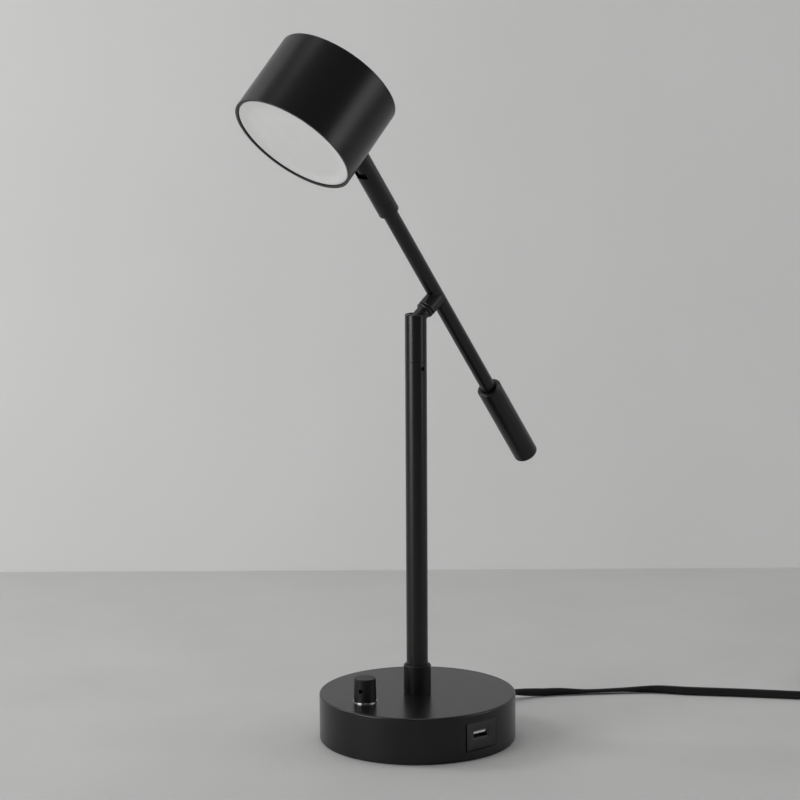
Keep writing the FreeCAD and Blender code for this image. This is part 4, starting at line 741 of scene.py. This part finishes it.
# The cord's roll about its own line, in degrees from lying flat, at places along it. Its
# section has two round cores with a shallow groove between them.
ROLL_PLACES = [(0, 0), (0.018, 0), (0.050, 78), (0.060, 72), (0.096, 15), (0.112, 18), (0.162, 100),
               (0.20, 98), (0.26, 91), (0.31, 74), (0.36, 10), (0.40, 0), (9, 0)]
CORD_AROUND = 24
GROOVE_WIDTH = 0.55
GROOVE_DEPTH = 0.72


def between(table, x):
    """Reads a value from a short table of places and values, eased between them."""
    for (x0, y0), (x1, y1) in zip(table, table[1:]):
        if x <= x1:
            share = (x - x0) / (x1 - x0)
            return y0 + (y1 - y0) * share * share * (3 - 2 * share)
    return table[-1][1]


core = CORD_THICKNESS / 2
core_aside = CORD_WIDTH / 2 - core
profile = []
for step in range(CORD_AROUND):
    angle = 2 * math.pi * (step + 0.5) / CORD_AROUND
    across = core_aside * (1 if math.cos(angle) > 0 else -1) + core * math.cos(angle)
    through = core * math.sin(angle)
    profile.append((across, through * (GROOVE_DEPTH if abs(across) < core * GROOVE_WIDTH else 1)))
points = []
faces = []
run = 0.0
for index, point in enumerate(line):
    before = line[max(index - 1, 0)]
    after = line[min(index + 1, len(line) - 1)]
    along = (after - before).normalized()
    if index:
        run += (point - line[index - 1]).length
        faces += band((index - 1) * CORD_AROUND, index * CORD_AROUND, CORD_AROUND)
    flat = along.cross(Vector((0, 0, 1))).normalized()
    up = flat.cross(along)
    roll = math.radians(between(ROLL_PLACES, run))
    wide = flat * math.cos(roll) + up * math.sin(roll)
    thin = up * math.cos(roll) - flat * math.sin(roll)
    half_height = core + core_aside * abs(wide.z)
    resting = Vector((point.x, point.y, max(point.z, half_height + CORD_LIFT)))
    for across, through in profile:
        points.append(resting + wide * across + thin * through)
faces.append(tuple(range(CORD_AROUND - 1, -1, -1)))
faces.append(tuple(range(len(points) - CORD_AROUND, len(points))))
cord_finish, cord_shader, wire = new_finish("cord_vinyl", (0.0055, 0.0055, 0.0060), 0.42)
cord_shader.inputs["Specular IOR Level"].default_value = 0.26
grain = speckle(wire, 900.0, 3.0)
feed(cord_shader, "Roughness", grain * 0.14 + 0.37)
bumped(cord_shader, wire, grain, 0.15, 0.0001)
lead = mesh_object("lead", points, faces, cord_finish)
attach(lead, "base")
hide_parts("cord", "cord_coil")

# Strain relief. Moulded black PVC, held in the cover's wall. Its four ribs get smaller towards
# the tip, and it ends in a sleeve that is drawn flat over the cord.
RELIEF_OUTLINE = [(0, 0.0661), (0.0058, 0.0661), (0.0060, 0.0663), (0.0060, 0.0674),
                  (0.0058, 0.0676), (0.0040, 0.0676), (0.0040, 0.0701), (0.0048, 0.0701),
                  (0.0050, 0.0703)]
RIBS = 4
FIRST_RIB = 0.0716
RIBS_APART = 0.0042
RIB_RADIUS = 0.0050
RIB_TAPER = 0.0003
RIB_OUTLINE = [(0, -0.0002), (-0.0003, 0), (-0.0010, 0.0001), (-0.0010, 0.0020),
               (-0.0005, 0.0021), (-0.0003, 0.0023)]
SLEEVE_START = 0.0740
SLEEVE_LENGTH = 0.0150
SLEEVE_DRAWN = 0.22
vinyl, vinyl_shader, wire = new_finish("moulded_vinyl", (0.0085, 0.0085, 0.0088), 0.44)
grain = speckle(wire, 2100.0, 3.0)
vinyl_edge = rounded(wire, 0.0003)
feed(vinyl_shader, "Roughness", grain * 0.16 + 0.36)
bumped(vinyl_shader, wire, grain, 0.2, 0.00008, vinyl_edge)
relief_place = link(degrees=EXIT_AZIMUTH) @ link(z=EXIT_HEIGHT) @ outward
relief_outline = list(RELIEF_OUTLINE)
for rib in range(RIBS):
    rib_low = FIRST_RIB + RIBS_APART * rib
    rib_radius = RIB_RADIUS - RIB_TAPER * rib
    relief_outline += [(rib_radius + out, rib_low + along) for out, along in RIB_OUTLINE]
relief_outline += [(0.0038, RELIEF_TIP - 0.0005), (0.0034, RELIEF_TIP), (0, RELIEF_TIP)]
relief = lathe("lead_relief", relief_outline, relief_place, vinyl, 48)
for vertex in relief.data.vertices:
    local = relief_place.inverted() @ vertex.co
    drawn = min(max((local.z - SLEEVE_START) / SLEEVE_LENGTH, 0), 1)
    vertex.co = relief_place @ Vector((local.x * (1 - SLEEVE_DRAWN * drawn), local.y, local.z))
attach(relief, "base")
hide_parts("cord_relief")

# Tie. A strip of woven hook-and-loop tape, wrapped once round the coil with its end pressed
# down on top.
TIE_AZIMUTH = 120
TIE_WIDTH = 0.008
TAPE = 0.0007
TAPE_BEND = 0.0030
TAIL_NARROWER = 0.0004
TAIL_REACH = 0.0145
TAIL_STEP = 0.0013
tape, tape_shader, wire = new_finish("woven_tape", (0.012, 0.012, 0.012), 0.9)
coordinates = wire.node("TexCoord", output="Object")
threads = {"Vector": coordinates, "Scale": 330.0, "Distortion": 0.6}
warp = wire.node("TexWave", {"bands_direction": "X"}, threads)
weft = wire.node("TexWave", {"bands_direction": "Y"}, threads)
weave = warp * weft
feed(tape_shader, "Base Color", blended(wire, weave, (0.007, 0.007, 0.007), (0.026, 0.026, 0.027)))
bumped(tape_shader, wire, weave, 0.7, 0.0003)
tie_in = COIL_RADIUS - TURNS_IN * pitch - CORD_WIDTH / 2 - COIL_GAP - TAPE
tie_out = COIL_RADIUS - pitch / 2 + CORD_WIDTH / 2 + COIL_GAP + TAPE
tie_low = CORD_LIFT
tie_high = 2 * CORD_WIDTH + 3 * COIL_GAP + 2 * TAPE
tie_place = Matrix.Translation(coil_centre) @ link(degrees=TIE_AZIMUTH)
tape_line = []
for corner_x, corner_z, first in ((tie_out - TAPE_BEND, tie_low + TAPE_BEND, -90),
                                  (tie_out - TAPE_BEND, tie_high - TAPE_BEND, 0),
                                  (tie_in + TAPE_BEND, tie_high - TAPE_BEND, 90),
                                  (tie_in + TAPE_BEND, tie_low + TAPE_BEND, 180)):
    for step in range(7):
        angle = math.radians(first + 15 * step)
        tape_line.append((corner_x + TAPE_BEND * math.cos(angle),
                          corner_z + TAPE_BEND * math.sin(angle), math.cos(angle), math.sin(angle)))
tape_line.append(tape_line[0])
tail_line = []
for step in range(12):
    curl = 0.004 * max(6 - step, 0) ** 2
    tail_line.append((tie_out - TAPE_BEND - TAIL_REACH + TAIL_STEP * step,
                      tie_high + TAPE * (1.06 + curl), 0, 1))


def tape_piece(name, strip, narrower):
    """A strip of tape along a line of (x, z, outward x, outward z), with thin selvedges."""
    half_width = TIE_WIDTH / 2 - narrower
    section = ((-1, TAPE), (-1, 0.15 * TAPE), (-0.97, 0), (0.97, 0), (1, 0.15 * TAPE), (1, TAPE))
    points = [tie_place @ Vector((x - out_x * depth, y * half_width, z - out_z * depth))
              for x, z, out_x, out_z in strip for y, depth in section]
    faces = []
    for row in range(len(strip) - 1):
        faces += band(6 * row, 6 * row + 6, 6)
    if strip[0] != strip[-1]:
        faces += [(5, 4, 3, 2, 1, 0), tuple(range(len(points) - 6, len(points)))]
    piece = mesh_object(name, points, faces, tape)
    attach(piece, "base")
    return piece


tie_wrap = tape_piece("tie_wrap", tape_line, 0)
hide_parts("coil_tie")
tie_end = tape_piece("tie_end", tail_line, TAIL_NARROWER)

# Plug. Moulded round the cord's end in the same PVC: a ribbed tail, a flared body with finger
# grips on both broad sides, and two plated brass blades with a hole in each.
PLUG_LENGTH = 0.030
PLUG_WIDTH = 0.025
PLUG_ROWS = 60
PLUG_AROUND = 56
PLUG_SQUARENESS = 0.42
TAIL_LENGTH = 0.009
TAIL_HALF_WIDTH = 0.0054
TAIL_HALF_DEEP = 0.0042
TAIL_RIB_PITCH = 0.003
TAIL_RIB_DEPTH = 0.0009
FLARE_LENGTH = 0.010
GRIP_MIDDLE = 0.0205
GRIP_HALF_LENGTH = 0.0042
GRIP_FIRST = 0.0163
GRIP_PITCH = 0.0021
GRIP_DEPTH = 0.0007
GRIP_SPAN = 0.72
LIP_LENGTH = 0.0016
LIP_DEPTH = 0.0011
plug_across = Vector((-plug_way.y, plug_way.x, 0))
plug_place = Matrix.Translation(plug_back) @ Matrix((
    (plug_way.x, plug_across.x, 0, 0), (plug_way.y, plug_across.y, 0, 0), (0, 0, 1, 0),
    (0, 0, 0, 1)))
points = []
for row in range(PLUG_ROWS + 1):
    x = PLUG_LENGTH * (row / PLUG_ROWS)
    flare = min(max((x - TAIL_LENGTH) / FLARE_LENGTH, 0), 1)
    flare = flare * flare * (3 - 2 * flare)
    half_width = TAIL_HALF_WIDTH + (PLUG_WIDTH / 2 - TAIL_HALF_WIDTH) * flare
    half_deep = TAIL_HALF_DEEP + (PLUG_THICKNESS / 2 - TAIL_HALF_DEEP - CORD_LIFT) * flare
    if x < TAIL_LENGTH:
        ring = 0.5 + 0.5 * math.cos(2 * math.pi * x / TAIL_RIB_PITCH)
        half_width -= TAIL_RIB_DEPTH * ring
        half_deep -= TAIL_RIB_DEPTH * ring
    grip = math.exp(-((x - GRIP_MIDDLE) / GRIP_HALF_LENGTH) ** 4)
    groove = 0.5 - 0.5 * math.cos(2 * math.pi * (x - GRIP_FIRST) / GRIP_PITCH)
    lip = min(1, (PLUG_LENGTH - x) / LIP_LENGTH)
    lip_round = LIP_DEPTH * (1 - math.sqrt(max(1 - (1 - lip) ** 2, 0)))
    half_width -= lip_round
    half_deep -= lip_round
    sunk = GRIP_DEPTH * grip * groove
    for step in range(PLUG_AROUND):
        angle = 2 * math.pi * step / PLUG_AROUND
        y = half_width * math.copysign(abs(math.cos(angle)) ** PLUG_SQUARENESS, math.cos(angle))
        z = half_deep * math.copysign(abs(math.sin(angle)) ** PLUG_SQUARENESS, math.sin(angle))
        middle = max(0, 1 - (abs(y) / (GRIP_SPAN * PLUG_WIDTH / 2)) ** 6)
        z -= math.copysign(sunk * middle, z) * (abs(z) > 0.5 * half_deep)
        points.append(plug_place @ Vector((x, y, z)))
faces = [tuple(range(PLUG_AROUND - 1, -1, -1)),
         tuple(range(len(points) - PLUG_AROUND, len(points)))]
for low in range(0, PLUG_ROWS * PLUG_AROUND, PLUG_AROUND):
    faces += band(low, low + PLUG_AROUND, PLUG_AROUND)
plug = mesh_object("plug", points, faces, vinyl)
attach(plug, "base")
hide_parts("plug_body")

BLADE_LENGTH = 0.016
BLADE_HALF_WIDTH = 0.00315
BLADE_THICKNESS = 0.0015
BLADE_EDGE = 0.0002
BLADE_AROUND = 48
BLADES_APART = 0.0127
HOLE_AT = 0.0125
HOLE_RADIUS = 0.0015
TIP_SLOPE = 0.7
TIP_CUT = 0.0038
brass, brass_shader, wire = new_finish("plated_brass", (0.62, 0.60, 0.55), 0.3, 1.0)
feed(brass_shader, "Roughness", mottled(wire, 1200.0, 0.22, 0.40))
sides = [(1, 0, BLADE_LENGTH - HOLE_AT), (-1, 0, HOLE_AT), (0, 1, BLADE_HALF_WIDTH),
         (0, -1, BLADE_HALF_WIDTH), (TIP_SLOPE, TIP_SLOPE, TIP_CUT),
         (TIP_SLOPE, -TIP_SLOPE, TIP_CUT)]
rim = []
for step in range(BLADE_AROUND):
    angle = 2 * math.pi * (step + 0.5) / BLADE_AROUND
    a, b = math.cos(angle), math.sin(angle)
    reach = min(far / (a * x + b * y) for x, y, far in sides if a * x + b * y > 1e-9)
    rim.append((a, b, reach))


def blade(name, aside):
    """A flat blade, set aside from the plug's middle, from three loops on each of its faces."""
    points = []
    for face_side in (-1, 1):
        for inset, thinner in ((0, BLADE_EDGE), (BLADE_EDGE, 0), (None, 0)):
            y = aside + face_side * (BLADE_THICKNESS / 2 - thinner)
            for a, b, reach in rim:
                out = HOLE_RADIUS if inset is None else reach - inset
                points.append(plug_place @ Vector((PLUG_LENGTH + HOLE_AT + a * out, y, b * out)))
    faces = []
    loops = [5, 4, 3, 0, 1, 2]
    for first, second in zip(loops, loops[1:] + loops[:1]):
        faces += band(BLADE_AROUND * first, BLADE_AROUND * second, BLADE_AROUND)
    piece = mesh_object(name, points, faces, brass)
    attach(piece, "base")
    return piece


left_blade = blade("blade_left", -BLADES_APART / 2)
right_blade = blade("blade_right", BLADES_APART / 2)
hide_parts("plug_blades")
